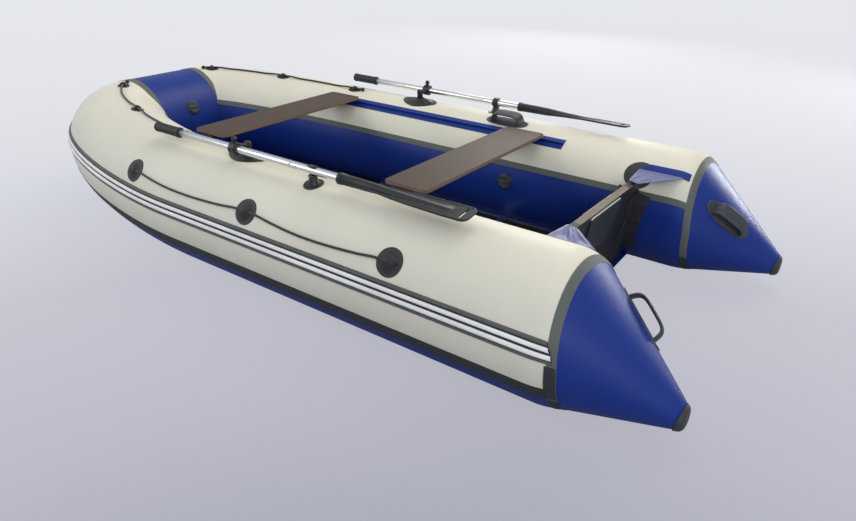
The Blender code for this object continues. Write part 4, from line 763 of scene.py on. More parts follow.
def plank_finish():
    """Film faced plywood: brown face with long grain, plies on its edges."""
    made, tree, shader = blank("seat_board", Specular_IOR_Level=0.22)
    where = where_on(tree)
    fibres = noise(tree, stretched(tree, where, (14.0, 1.1, 14.0)), 6.0, 8.0, 0.62, 0.4)
    grained = spread(tree, fibres, 0.3, 0.7)
    face = blend(tree, grained, (0.056, 0.036, 0.025), (0.098, 0.066, 0.048))
    plies = ripples(tree, parts_of(tree, where)[2], 0.0026)
    edge = blend(tree, spread(tree, plies, -0.3, 0.3), (0.10, 0.058, 0.036), (0.30, 0.19, 0.12))
    side = spread(tree, maths(tree, "ABSOLUTE", upward(tree)), 0.45, 0.75, 1.0, 0.0)
    rough = spread(tree, fibres, 0.3, 0.7, 0.50, 0.62)
    feed(tree, shader, blend(tree, side, face, edge), rough, fibres, 0.12, 0.0006)
    return made


def board_finish(name, face_tone, bare_top):
    """Waterproof plywood with a dark pressed mesh and, on a cut top edge, bare plies."""
    made, tree, shader = blank(name, Specular_IOR_Level=0.45)
    where = where_on(tree)
    x, y, z = parts_of(tree, where)
    rows = [ripples(tree, part, 0.006) for part in (x, y, z)]
    mesh = maths(tree, "MULTIPLY", rows[1], maths(tree, "ADD", rows[0], rows[2]))
    toned = group(tree, TONE, Colour=face_tone, Amount=0.16, Size=6.0)
    colour = toned["Colour"]
    if bare_top:
        grain = noise(tree, stretched(tree, where, (6.0, 0.5, 6.0)), 60.0, 5.0, 0.5)
        band = maths(tree, "MULTIPLY_ADD", ripples(tree, x, 0.0042), 0.22, grain)
        wood = blend(tree, spread(tree, band, 0.25, 0.8),
                     (0.090, 0.066, 0.050), (0.230, 0.180, 0.142))
        between_pads = maths(tree, "LESS_THAN", maths(tree, "ABSOLUTE", y), 0.195)
        edge = blend(tree, between_pads, (0.009, 0.009, 0.010), wood)
        colour = blend(tree, spread(tree, upward(tree), 0.55, 0.75), colour, edge)
    rough = spread(tree, toned["Mask"], 0.0, 1.0, 0.42, 0.58)
    feed(tree, shader, colour, rough, spread(tree, mesh, -0.6, 0.6), 0.3, 0.0004)
    return made


def metal_finish(name, colour, roughness, stretch):
    """Drawn or polished metal, with fine lines along its length."""
    made, tree, shader = blank(name, Metallic=1.0)
    fine = noise(tree, stretched(tree, where_on(tree), stretch), 4.0, 5.0, 0.6)
    toned = group(tree, TONE, Colour=colour, Amount=0.05, Size=8.0)
    rough = spread(tree, fine, 0.3, 0.7, roughness - 0.06, roughness + 0.10)
    feed(tree, shader, toned["Colour"], rough, fine, 0.08, 0.0002)
    return made


def rope_finish():
    """Braided line: two hands of strands crossing round it."""
    made, tree, shader = blank("braided_rope", Specular_IOR_Level=0.3, Sheen_Weight=0.25)
    x, y, z = parts_of(tree, where_on(tree))
    along = maths(tree, "ADD", x, maths(tree, "MULTIPLY", y, 0.7))
    hands = [ripples(tree, maths(tree, "MULTIPLY_ADD", z, sign, along), 0.0034)
             for sign in (1.0, -1.0)]
    braid = maths(tree, "MAXIMUM", *hands)
    colour = blend(tree, spread(tree, braid, -0.6, 1.0),
                   (0.006, 0.006, 0.007), (0.030, 0.030, 0.032))
    feed(tree, shader, colour, spread(tree, braid, -1.0, 1.0, 0.9, 0.7), braid, 0.5, 0.0006)
    return made


def floor_finish():
    """Pale studio floor, lighter away from the camera, that keeps a soft shadow."""
    made, tree, shader = blank("pale_floor", Roughness=0.9, Specular_IOR_Level=0.1)
    foot = (CAMERA[0], CAMERA[1], 0.0)
    away = node(tree, "VectorMath", {"operation": "DISTANCE"}, i0=where_on(tree), i1=foot)
    dip = maths(tree, "DIVIDE", CAMERA[2], away.outputs["Value"])
    far = blend(tree, spread(tree, dip, 0.109, 0.5), (0.896, 0.913, 0.946), (0.625, 0.628, 0.700))
    near = spread(tree, dip, 0.30, 1.30, ease="SMOOTHSTEP")
    colour = blend(tree, near, far, (0.429, 0.434, 0.515))
    feed(tree, shader, blend(tree, 0.35, colour, (0.05, 0.05, 0.06)))
    glow = node(tree, "Emission", None, Color=colour, Strength=1.0)
    share = maths(tree, "MULTIPLY", node(tree, "LightPath").outputs["Is Camera Ray"], 0.80)
    mixed = node(tree, "MixShader", None, i0=share, i1=shader.outputs[0], i2=glow.outputs[0])
    put(tree, tree.nodes["Material Output"].inputs["Surface"], mixed.outputs[0])
    return made


WEAVE = weave_effect()
TONE = tone_effect()
DUST = dust_effect()
GRAIN = grain_effect()

CREAM = coated_fabric("cream_coated_fabric", (0.715, 0.690, 0.575), 0.46)
BLUE = coated_fabric("blue_coated_fabric", (0.008, 0.031, 0.225), 0.40, 0.05, (0.05, 0.06, 0.12))
# Same blue fabric as the hull, its colour lifted to pale lavender: painted sheen of the light
# glancing off the webs.
GUSSET_CLOTH_PAINTED_SHEEN = coated_fabric("gusset_fabric_painted_sheen", (0.128, 0.135, 0.300), 0.45, gloss=0.14)
GREY_TAPE = tape_finish("grey_seam_tape", (0.112, 0.121, 0.110))
DARK_TAPE = tape_finish("dark_lower_band", (0.030, 0.034, 0.035))
STRAKE_GREY = moulded("strake_grey_rubber", (0.088, 0.093, 0.087), 0.50)
STRAKE_WHITE = moulded("strake_white_line", (0.86, 0.855, 0.82), 0.42, marks=0.12)
STRAKE_BLACK = moulded("strake_black_line", (0.012, 0.012, 0.013), 0.55)
BLACK = moulded("black_moulding", (0.012, 0.013, 0.014), 0.42)
BLACK_RUBBER = moulded("black_soft_rubber", (0.016, 0.017, 0.018), 0.55, grain=0.3, size=600.0)
CAP_RUBBER = moulded("cone_cap_rubber", (0.032, 0.036, 0.032), 0.52, grain=0.3, size=500.0)
VALVE_CAP = moulded("valve_cap_plastic", (0.040, 0.052, 0.050), 0.45)
VALVE_SEAT = moulded("valve_seat_plastic", (0.012, 0.026, 0.095), 0.45)
SEAT_BOARD = plank_finish()
TRANSOM_BOARD = board_finish("transom_ply", (0.016, 0.017, 0.021), True)
FLOOR_BOARD = board_finish("floor_ply", (0.018, 0.018, 0.019), False)
ALLOY = metal_finish("drawn_alloy", (0.80, 0.80, 0.78), 0.30, (2.0, 220.0, 220.0))
STEEL = metal_finish("polished_steel", (0.62, 0.62, 0.64), 0.18, (60.0, 60.0, 60.0))
# Motor pads: dark plastic, with a painted highlight in pale grey on their upward faces.
PAD = moulded("motor_pad_plastic", (0.026, 0.027, 0.033), 0.45, top=(0.56, 0.56, 0.49))
HOLDER_RUBBER = moulded("holder_rubber", (0.020, 0.023, 0.029), 0.50, grain=0.25, size=600.0)
HANDLE_RUBBER = moulded("handle_rubber", (0.036, 0.040, 0.050), 0.50, grain=0.25, size=600.0)
ROPE = rope_finish()


# Tubes, bow and cones

def whole_turn(borders=()):
    """Angles once round a tube, with rows at the borders of its panels."""
    angles = stops(-90.0, 270.0, 4.0)
    for border in borders:
        nearest = min(range(len(angles)), key=lambda i: abs(angles[i] - border))
        angles[nearest] = border
    return angles


def round_the_bow(start):
    """Lengths from near the port seam, round the bow, to the same place to starboard."""
    half = lengths_along(start, MIDDLE)
    return half + [2 * MIDDLE - arc for arc in reversed(half[:-1])]


def puckered(item):
    """Slight tucks inside the bow's bends, where the fabric is short."""
    bend_start, bend_reach, ring_side, depth, tucks = 0.45, 0.35, 0.19, 0.004, 60
    for vertex in item.data.vertices:
        side = abs(vertex.co.y)
        bend = min(1.0, (vertex.co.x - bend_start) / bend_reach)
        if side <= ring_side or bend <= 0.0:
            continue
        spot = Vector((vertex.co.x, side, vertex.co.z))
        centre = min(LINE, key=lambda point: (point - spot).length)
        off = spot - centre
        inward = max(0.0, -off.normalized().dot(Vector((0.7, 0.7, 0))))
        wave = math.sin(math.atan2(vertex.co.x - 0.4, side + 0.2) * tucks)
        scaled = centre + off * (1.0 - depth * bend * inward * wave)
        vertex.co = (scaled.x, math.copysign(scaled.y, vertex.co.y), scaled.z)
    return item


def make_tubes():
    """Side tubes, blue inside and below their cream panel, and the blue bow tube."""
    borders = (BAND_FOOT, PANEL_FOOT, BAND_TOP, STRAKE_ANGLE, PANEL_TOP)
    tube = rolled(lengths_along(0.0002, RING - 0.0002), whole_turn(borders))
    puckered(edit(tube, weld, close_ends, face_out))
    paint(tube, (CREAM, BLUE), lambda angle: 0 if PANEL_FOOT < angle < PANEL_TOP else 1)
    hand_over_pair(tube, "tube_fabric", "hull", None, ("{side}_side_tube",), 60)
    arcs = stops(RING + 0.0002, 2 * MIDDLE - RING - 0.0002, 0.018)
    bow = edit(rolled(arcs, whole_turn()), weld, close_ends, face_out)
    hand_over(bow, "bow_fabric", "hull", BLUE, ("bow_tube",), 60)


def tip_slant(arc, angle):
    """The cone's fabric reaches further aft over its crown than below."""
    return arc * TIP_LEAN * (1 + math.sin(math.radians(angle))) / 2


def make_cones():
    arcs = [-share * CONE_LENGTH for share in reversed(stops(0.0004, 1.0, 0.04))]
    cone = edit(rolled(arcs, whole_turn(), slant=tip_slant), weld, close_ends, face_out)
    hand_over_pair(cone, "cone_fabric", "hull", BLUE, ("{side}_cone",), 60)


def make_cone_caps():
    """Rubber cap over each cone's end: a thin rim, short sides and a blunt nose."""
    profile = [(0.0, 0.985), (0.0, 1.055), (0.06, 1.075), (0.16, 1.07), (0.22, 1.03), (0.50, 0.98),
               (0.70, 0.90), (0.86, 0.79), (0.96, 0.68), (1.0, 0.58), (1.0, 0.44), (1.0, 0.30),
               (1.0, 0.18), (1.0, 0.08), (1.0, 0.004)]
    nose = SEAM_X - CONE_LENGTH - 0.0245

    def point(column, row):
        along, grow = profile[column]
        angle = 360 * row / 48
        share = 1.0 - tip_slant(-1.0, angle)
        height, shift, radius = cone_ring(share)
        turn = math.radians(angle)
        rim = SEAM_X - CONE_LENGTH * share + 0.002
        centre = height + (CONE_TIP_Z - 0.0055 - height) * along
        return (rim + (nose - rim) * along, SPREAD + shift + radius * grow * math.cos(turn),
                centre + radius * grow * math.sin(turn))

    hand_over_pair(skin(14, 48, point), "cone_cap_cover", "hull", CAP_RUBBER,
                   ("{side}_cone_cap",), 50)


def seam_ring(low, high, step):
    """Tape once round the tube."""
    return thicken(edit(rolled(stops(low, high, step), whole_turn(), 0.0003), weld), 0.0011)


def make_tapes():
    """Seam tapes: rings at the cones and bow, long tapes inside and a dark band below."""
    ring = seam_ring(-0.008, 0.016, 0.0048)
    paint(ring, (GREY_TAPE, DARK_TAPE),
          lambda angle: int(angle < BAND_FOOT or angle > 180 - BAND_FOOT))
    hand_over_pair(ring, "cone_seam_tape", "hull")
    ring = seam_ring(RING - 0.018, RING + 0.018, 0.009)
    hand_over_pair(ring, "bow_seam_tape", "hull", GREY_TAPE)
    tape = rolled(lengths_along(0.016, RING - 0.014), stops(TAPE_LOW, TAPE_HIGH, 2.0), 0.0002)
    hand_over_pair(thicken(tape, 0.0009), "inner_seam_tape", "hull", GREY_TAPE)
    low_end = rolled(stops(-0.007, 0.0205, 0.0055), stops(BAND_FOOT, 3.3, 2.2), 0.0014)
    hand_over_pair(thicken(low_end, 0.0008), "lower_band_end", "hull", DARK_TAPE)
    band = rolled(round_the_bow(0.016), stops(BAND_FOOT, BAND_TOP, 2.2), 0.0002)
    hand_over(thicken(band, 0.0010), "lower_band_tape", "hull", DARK_TAPE)


def strake_end(arc, angle):
    """The strake's ends are cut at a slant, longer below, over the seam tape."""
    near = min(arc, 2 * MIDDLE - arc)
    lowness = (20.6 - angle) / 17.3
    longer = min(0.034 * lowness * max(1 - near / 0.09, 0.0), 0.0165)
    return -longer if arc < MIDDLE else longer


def make_strake():
    """Rubbing strake: a grey strip with two white ribs and black lines beside them."""
    # Angle and lift of each edge, and the finish from it to the next: grey, white or black.
    section = [
        (5.0, -0.001, 2), (5.2, 0.0025, 2), (5.6, 0.0044, 0), (6.2, 0.0054, 0),
        (6.9, 0.0042, 0), (7.6, 0.0050, 2), (8.4, 0.0048, 1), (8.6, 0.0082, 1),
        (9.1, 0.0096, 1), (11.0, 0.0096, 1), (11.5, 0.0082, 1), (11.7, 0.0050, 2),
        (12.6, 0.0046, 2), (13.5, 0.0050, 1), (13.7, 0.0082, 1), (14.3, 0.0096, 1),
        (15.9, 0.0096, 1), (16.4, 0.0082, 1), (16.6, 0.0050, 2), (17.3, 0.0046, 2),
        (17.9, 0.0050, 0), (18.6, 0.0054, 0), (19.3, 0.0044, 0), (19.8, 0.0046, 0),
        (20.3, 0.0025, 0), (20.5, -0.001, 0),
    ]
    angles, lifts, rows = zip(*section)
    strake = rolled(round_the_bow(0.0185), angles + (STRAKE_ANGLE, 5.0),
                    lifts=lifts + (-0.004, -0.001), slant=strake_end)

    def line_of(angle):
        below = [row for edge, row in zip(angles, rows) if edge <= angle]
        return below[-1] if below else 0

    paint(strake, (STRAKE_GREY, STRAKE_WHITE, STRAKE_BLACK), line_of)
    edit(strake, weld, close_ends, face_out)
    hand_over(strake, "ribbed_strake", "hull", None, ("rubbing_strake",), 50)


# Ropes and what holds them

# Length along the hull and angle of each station, and how the rope passes it.
PORT_LIFELINE = (
    (0.504, 34.5, "lift"), (0.528, 34.5, "lift"), (0.578, 34.3, "lift"),
    (0.640, 32.6, "lie"), (0.730, 31.0, "lie"), (0.820, 30.2, "lie"), (0.910, 30.6, "lie"),
    (1.000, 32.4, "lie"), (1.065, 34.3, "lift"), (1.115, 34.5, "lift"), (1.165, 34.3, "lift"),
    (1.230, 32.6, "lie"), (1.325, 31.2, "lie"), (1.415, 30.6, "lie"), (1.505, 31.0, "lie"),
    (1.600, 32.6, "lie"), (1.665, 34.3, "lift"), (1.715, 34.5, "lift"), (1.739, 34.5, "lift"),
)
CROWN_ROPE = (
    (1.632, 97.0, "knot"), (1.650, 97.0, "lift"), (1.690, 97.0, "lift"), (1.735, 97.0, "lift"),
    (1.790, 96.6, "lie"), (1.860, 96.2, "lie"), (1.950, 96.2, "lie"), (2.020, 96.6, "lie"),
    (2.075, 97.0, "lift"), (2.120, 97.0, "lift"), (2.165, 97.0, "lift"), (2.220, 96.8, "lie"),
    (2.290, 96.6, "lie"), (2.360, 96.6, "lie"), (2.420, 96.8, "lie"), (2.475, 97.0, "lift"),
    (2.520, 97.0, "lift"), (2.558, 97.0, "lift"), (2.576, 97.0, "knot"),
)
LIFTS = {"lie": 0.0046, "lift": ROPE_LIFT, "knot": ROPE_LIFT}


def rope_points(stations):
    """Smooth line through the stations, lying on the fabric between its fittings."""
    route = [(arc, angle, LIFTS[how]) for arc, angle, how in stations]
    points = []
    for arc in stops(route[0][0], route[-1][0], 0.012):
        index = max(i for i in range(len(route) - 1) if arc >= route[i][0] or i == 0)
        low, high = route[index], route[index + 1]
        before, after = route[max(index - 1, 0)], route[min(index + 2, len(route) - 1)]
        span = high[0] - low[0]
        t = (arc - low[0]) / span
        ease = 3 * t ** 2 - 2 * t ** 3
        values = []
        for k in (1, 2):
            slope_low = (high[k] - before[k]) / (high[0] - before[0]) * span
            slope_high = (after[k] - low[k]) / (after[0] - low[0]) * span
            bends = slope_low * (t ** 3 - 2 * t ** 2 + t) + slope_high * (t ** 3 - t ** 2)
            values.append(low[k] * (1 - ease) + high[k] * ease + bends)
        points.append(on_hull(arc, *values))
    return points


def stopper_knot(end, inner):
    """Two and a half wraps of the rope round itself."""
    along = (inner - end).normalized()
    side = along.orthogonal().normalized()
    up = along.cross(side)
    wraps = []
    for share in stops(0.0, 1.0, 0.025):
        turn = 2 * math.pi * 2.5 * share
        ring = side * math.cos(turn) + up * math.sin(turn)
        wraps.append(end + along * (0.0035 + 0.011 * share) + ring * 0.0047)
    return tube_along(wraps, 0.0036)


def make_ropes():
    """Cords on their routes, with a stopper knot at each end that nothing else holds."""
    routes = {"port_lifeline": (PORT_LIFELINE, 1), "port_crown_rope": (CROWN_ROPE, 1),
              "starboard_crown_rope": (CROWN_ROPE, -1)}
    for name, (stations, side) in routes.items():
        points = [Vector((p.x, p.y * side, p.z)) for p in rope_points(stations)]
        knotted = stations[0][2] == "knot"
        ends = (("first", points[0], points[2]), ("last", points[-1], points[-3]))
        knots = [hand_over(stopper_knot(end, inner), f"{name}_{label}_knot", "hull",
                           ROPE, angle=60) for label, end, inner in ends if knotted]
        rope = tube_along(points, 0.004, 4, mesh=False)
        hand_over(rope, name + "_braid", "hull", ROPE, (name,))


def seated_for_rope(item, radius, reach, sides):
    """Bend a fitting onto the tube and bore the rope's hole along it."""
    hole = moved(lie_along_x(rod(radius, -reach, reach, sides)), 0, 0, ROPE_LIFT)
    return cut(drape_on_tube(item), hole)


def lifeline_patch():
    """Round rubber patch: thin rim, dished field and a hump that the rope runs through."""
    patch = turned([(0.0435, -0.0012), (0.0435, 0.0012), (0.0425, 0.0026), (0.0400, 0.0030),
                    (0.0385, 0.0024), (0.0330, 0.0030), (0.0270, 0.0050), (0.0205, 0.0094),
                    (0.0140, 0.0140), (0.0070, 0.0164), (0.0, 0.0170)], 56)
    for vertex in patch.data.vertices:
        x, y, z = vertex.co
        if z > 0.0028 and math.hypot(x, y) < 0.031:
            ridge = 0.0045 * math.exp(-(y / 0.010) ** 2) * math.exp(-(x / 0.022) ** 6)
            vertex.co.z = z * (0.82 + 0.18 * math.exp(-(y / 0.016) ** 2)) + ridge * 0.35
    return seated_for_rope(patch, 0.0052, 0.06, 24)


def eyelet():
    """Oval pad with an upright rounded lug."""
    pad = turned([(1.0, -0.6), (1.0, 0.3), (0.95, 0.62), (0.86, 0.80), (0.55, 1.0), (0.0, 1.0)])
    place(pad, Matrix.Diagonal((0.033, 0.025, 0.0036, 1)))
    outline = [(-0.0165, -0.003), (0.0165, -0.003)]
    outline += arc_points(0, 0.0050, 0.0150, 0.0125, 0, 180, 12)
    fuse(pad, bevel(stand_across_x(plate(outline, 0.0145)), 0.0032, 3))
    for vertex in pad.data.vertices:
        reach = math.hypot(vertex.co.x / 0.020, vertex.co.y / 0.022)
        if 0.0034 < vertex.co.z < 0.006 and reach < 1.0:
            vertex.co.z += 0.0006
    return seated_for_rope(pad, 0.0051, 0.05, 20)


def make_rope_fittings():
    for index, arc in enumerate(PATCH_ARCS, 1):
        patch = place(lifeline_patch(), hull_frame(arc, PATCH_ANGLE))
        hand_over_pair(patch, f"lifeline_patch_{index}", "hull", BLACK_RUBBER)
    for index, arc in enumerate(EYELET_ARCS, 1):
        fitting = place(eyelet(), hull_frame(arc, EYELET_ANGLE))
        hand_over_pair(fitting, f"rope_eyelet_{index}", "hull", BLACK)


# Valves and tow ring

def valve_flange():
    """Seat ring of a valve, its foot sunk a little so that it meets the curved fabric."""
    flange = turned([(0.0345, -0.012), (0.0345, 0.0010), (0.0335, 0.0024), (0.0310, 0.0034),
                     (0.0285, 0.0038), (0.0275, 0.0032), (0.0265, 0.0038), (0.0185, 0.0040),
                     (0.0183, -0.012)], 56)
    for vertex in flange.data.vertices:
        if vertex.co.z < 0.0008:
            vertex.co.z -= 0.004
    return flange


def valve_cap():
    """Bayonet cap with a ribbed rim and a grip bar across its dish."""
    cap = turned([(0.0172, -0.009), (0.0172, 0.0044), (0.0250, 0.0044), (0.0262, 0.0056),
                  (0.0262, 0.0086), (0.0248, 0.0100), (0.0215, 0.0101), (0.0200, 0.0088),
                  (0.0120, 0.0080), (0.0, 0.0080)], 72)
    ribbed_rim(cap, 0.0255, lambda turn: 1.0 + 0.016 * math.cos(turn * 24))
    return fuse(cap, bevel(box((-0.0195, -0.0036, 0.0070), (0.0195, 0.0036, 0.0162)), 0.0022, 3))


def make_valves():
    matrix = hull_frame(*VALVE_PLACE)
    hand_over_pair(place(valve_flange(), matrix), "valve_seat_ring", "hull",
                   VALVE_SEAT)
    hand_over_pair(place(valve_cap(), matrix), "valve_cap_cover", "{side}_valve_cap",
                   VALVE_CAP, ("{side}_valve_cap",))
    matrix = hull_frame(MIDDLE, BOW_VALVE_ANGLE)
    hand_over(place(valve_flange(), matrix), "bow_valve_seat_ring", "hull",
              VALVE_SEAT)
    hand_over(place(valve_cap(), matrix), "bow_valve_cap_cover", "bow_valve_cap",
              VALVE_CAP, ("bow_valve_cap",))


def make_tow_ring():
    """Wire ring, flat where it passes through the lug of its patch."""
    matrix = hull_frame(MIDDLE, TOW_RING_ANGLE)
    hand_over(place(eyelet(), matrix), "tow_ring_patch", "hull", BLACK_RUBBER)
    pivot = matrix @ Vector((0, 0, ROPE_LIFT))
    path = [(0, 0), (0.0196, 0), (0.0225, -0.0006), (0.0262, -0.004), (0.028, -0.010),
            (0.0275, -0.018), (0.024, -0.027), (0.0175, -0.034), (0.009, -0.0385), (0, -0.0400)]
    loop = path + [(-y, z) for y, z in reversed(path[1:-1])]
    points = rounded([pivot + Vector((0, y, z)) for y, z in loop + loop[:1]], 2)
    ring = tube_along(points[:-1], 0.003, 4, closed=True)
    hand_over(ring, "tow_ring_wire", "bow_tow_ring", STEEL, ("bow_tow_ring",), 70)


# Bottom, floor and transom

BOTTOM_WIDE = on_hull(STRAIGHT / 2, BOTTOM_ANGLE).y
BOTTOM_NARROW = on_hull(RING, BOTTOM_ANGLE).y


def bottom_edge(arc, lift=0.0):
    """Port edge of the bottom fabric, and how far the fabric sags between its edges."""
    edge = on_hull(arc, BOTTOM_ANGLE, lift)
    share = max((edge.y - BOTTOM_NARROW) / (BOTTOM_WIDE - BOTTOM_NARROW), 0.0)
    return edge, BOTTOM_SAG * share ** 0.6


def make_bottom():
    """Bottom fabric between the tubes, hung a little low, and the air keel on it."""
    arcs = stops(BOTTOM_START, STRAIGHT, 0.06) + stops(STRAIGHT, RING, 0.03)[1:]

    def point(column, row):
        edge, sag = bottom_edge(arcs[column], -0.001)
        side = row / 12 - 1
        return edge.x, edge.y * side, edge.z - sag * (1 - abs(side))

    fabric = sheet(len(arcs) - 1, 24, point)
    for loop in fabric.data.uv_layers[0].data:
        loop.uv = (loop.uv.x * 2.2, loop.uv.y * 0.8)
    edit(thicken(fabric, 0.002, 0.0), face_out)
    hand_over(fabric, "bottom_fabric", "hull", BLUE, ("bottom_skin",), 60)
    low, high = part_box("keel_tube")
    points = []
    radii = []
    for share in stops(0.0, 1.0, 0.04):
        x = low[0] + 0.006 + (high[0] - low[0] - 0.012) * share
        ground = ground_height(x) + 0.0015
        end = math.sqrt(max(1 - (abs(share - 0.5) * 2) ** 14, 0.02))
        points.append(Vector((x, 0, (high[2] + ground) / 2)))
        radii.append((high[2] - ground) / 2 * end)
    keel = tube_along(points, 1.0, 6, radii)
    hand_over(keel, "keel_fabric", "hull", BLUE, ("keel_tube",), 60)


def ground_height(x):
    """Height of the bottom fabric's inside on the centre line."""
    for arc in stops(BOTTOM_START, RING, 0.02):
        edge, sag = bottom_edge(arc)
        if edge.x >= x:
            return edge.z - sag + 0.001
    return edge.z


def transom_frame():
    """Frame on the transom, near its top: X to port, Y up the board, Z forward."""
    rake = math.radians(TRANSOM_RAKE)
    up = Vector((-math.sin(rake), 0, math.cos(rake)))
    out = Vector((math.cos(rake), 0, math.sin(rake)))
    turned_frame = Matrix(((0, 1, 0), up, out)).transposed().to_4x4()
    return Matrix.Translation(TRANSOM_PLACE) @ turned_frame


def gusset_web(fold):
    """Web from the tube to the board's top corner, with folds of a given height."""
    board = transom_frame()
    fore_end = board @ Vector((0.240, 0.0064, 0.0125))
    aft_end = board @ Vector((0.240, 0.0064, -0.0225))

    def point(column, row):
        u, v = column / 36, row / 30
        near = on_hull(0.049 + 0.177 * u, WEB_ANGLE, 0.0018)
        spot = near.lerp(aft_end.lerp(fore_end, u), v)
        waves = math.sin(u * 13.0 + v * 3.0) + 0.5 * math.sin(u * 27.0 - v * 5.0 + 1.0)
        spot.z += fold * waves * math.sin(math.pi * v) * math.sin(math.pi * u) ** 0.5
        return spot + clear_of_tube(spot)

    return thicken(edit(sheet(36, 30, point), face_out), 0.0014)


def clear_of_tube(point):
    """How far a point must move to stay out of the port tube."""
    off = Vector((0, point.y - SPREAD, point.z - TUBE))
    short = TUBE + 0.0008 - off.length
    return off.normalized() * short if short > 0 else Vector((0, 0, 0))


def tongue_end(arc, angle):
    """The tongue is longer at its lower corner."""
    aft, fore = TONGUE_ARCS
    low, high = TONGUE_ANGLES
    return TONGUE_SLANT * (arc - aft) / (fore - aft) * (angle - low) / (high - low)


def make_gussets():
    """Fabric web over each corner of the board, its tongue and its dark round patch."""
    # The webs' finish has their sheen painted into its colour.
    hand_over(gusset_web(0.0042), "port_gusset_web", "hull", GUSSET_CLOTH_PAINTED_SHEEN,
              ("port_gusset",), 60)
    hand_over(mirrored(gusset_web(0.0016)), "starboard_gusset_web", "hull",
              GUSSET_CLOTH_PAINTED_SHEEN, ("starboard_gusset",), 60)
    tongue = rolled(stops(*TONGUE_ARCS, 0.0085), stops(*TONGUE_ANGLES, 1.0), 0.0014,
                    slant=tongue_end)
    hand_over_pair(thicken(tongue, 0.0010), "gusset_tongue", "hull", BLUE, (), 60)
    disc = turned([(0.054, -0.001), (0.054, 0.0006), (0.0525, 0.0013), (0.0, 0.0013)], 56)
    edit(disc, lambda: bpy.ops.mesh.subdivide(number_cuts=3))
    disc = place(drape_on_tube(disc), hull_frame(*GUSSET_PATCH_PLACE))
    hand_over_pair(disc, "gusset_patch", "hull", DARK_TAPE, (), 60)


def dress_boards():
    """Finishes on the CAD nodes whose shape is right."""
    ends = ("port_fore", "port_aft", "starboard_fore", "starboard_aft")
    finishes = (
        (TRANSOM_BOARD, ["transom_board"]),
        (FLOOR_BOARD, ["floor_panel_fore", "floor_panel_mid", "floor_panel_aft"]),
        (SEAT_BOARD, ["fore_seat", "aft_seat"]),
        (PAD, ["motor_pad_inner", "motor_pad_outer"]),
        (ALLOY, ["floor_joiner_fore", "floor_joiner_aft", "port_stringer", "starboard_stringer"]),
        (BLACK, ["drain_flange", "drain_plug"] + [f"{end}_seat_shoe" for end in ends]),
        (HOLDER_RUBBER, ["port_transom_holder", "starboard_transom_holder"]),
    )
    for finish, names in finishes:
        for name in names:
            coat(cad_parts[name], finish)


# Seat rails

def make_rails():
    """Blue strip glued along the tube with a round bead on a web."""
    start, end = RAIL_ARCS
    arcs = stops(start, STRAIGHT, 0.05) + stops(STRAIGHT, end, 0.02)[1:]
    section = [(-6.6, -0.001), (-6.5, 0.0012), (-6.2, 0.0022), (-4.0, 0.0026), (-1.6, 0.0027),
               (-0.7, 0.0030)]
    bead = [(math.degrees(across / TUBE), lift)
            for across, lift in arc_points(0, 0.0075, 0.0045, 0.0045, 215, -35, 12)]
    outline = section + bead + [(-across, lift) for across, lift in reversed(section)]
    outline += [(0.0, -0.003), (-6.6, -0.001)]
    rail = rolled(arcs, [RAIL_ANGLE + across for across, _ in outline],
                  lifts=[lift for _, lift in outline])
    edit(rail, weld, close_ends, face_out)
    hand_over_pair(rail, "rail_strip", "hull", BLUE, ("{side}_seat_rail",), 50)


# Oars and their fittings

def oar_place():
    return Matrix.Translation((SEAM_X, OAR_Y, OAR_Z))


def make_oars():
    """Oar in two parts, with its snap button, grip and blade, all round the shaft's own X."""
    at_rest = oar_place()
    shaft = lie_along_x(turned([
        (0.0, 0.754), (0.0115, 0.754), (OAR_RADIUS, 0.755), (OAR_RADIUS, 1.000), (0.01245, 1.0004),
        (0.01245, 1.0010), (OAR_RADIUS, 1.0014), (OAR_RADIUS, 1.690), (0.0115, 1.6915),
        (0.0, 1.6915)]))
    turn = math.radians(BUTTON_ANGLE)
    out = Vector((0, math.cos(turn), math.sin(turn)))
    spot = frame_of(Vector((BUTTON_X, 0, 0)), Vector((1, 0, 0)), out)
    cut(shaft, place(rod(0.0050, 0.002, 0.03), spot))
    hand_over_pair(place(shaft, at_rest), "shaft_tube", "{side}_oar", ALLOY,
                   ("{side}_oar_shaft",))
    button = turned([(0.0, 0.0066), (0.0045, 0.0067), (0.0045, 0.0137), (0.0040, 0.0149),
                     (0.0025, 0.0154), (0.0, 0.0155)], 32)
    hand_over_pair(place(button, at_rest @ spot), "snap_button", "{side}_oar_button",
                   STEEL, ("{side}_oar_button",))
    hand_over_pair(place(ribbed_grip(), at_rest), "ribbed_grip", "{side}_oar",
                   BLACK_RUBBER, ("{side}_oar_grip",), 40)
    hand_over_pair(place(moulded_blade(), at_rest), "moulded_blade", "{side}_oar",
                   BLACK, ("{side}_oar_blade",), 40)


def ribbed_grip():
    """Ribbed grip with a rounded end and a collar."""
    profile = [(0.0, 1.6985), (0.0127, 1.6985), (0.0127, 1.6072), (0.0133, 1.6065),
               (0.0188, 1.6070), (0.0191, 1.6085), (0.0191, 1.6165), (0.0183, 1.6185)]
    rib = ((0.0172, 0.0), (0.0176, 0.0012), (0.0176, 0.0026), (0.0172, 0.0038))
    for step in range(26):
        height = 1.6205 + 0.0040 * step
        profile += [(radius, height + rise) for radius, rise in rib]
    profile += [(0.0175, 1.7265), (0.0186, 1.7310), (0.0187, 1.7370), (0.0178, 1.7400),
                (0.0150, 1.7416), (0.0, 1.7419)]
    return lie_along_x(turned(profile))


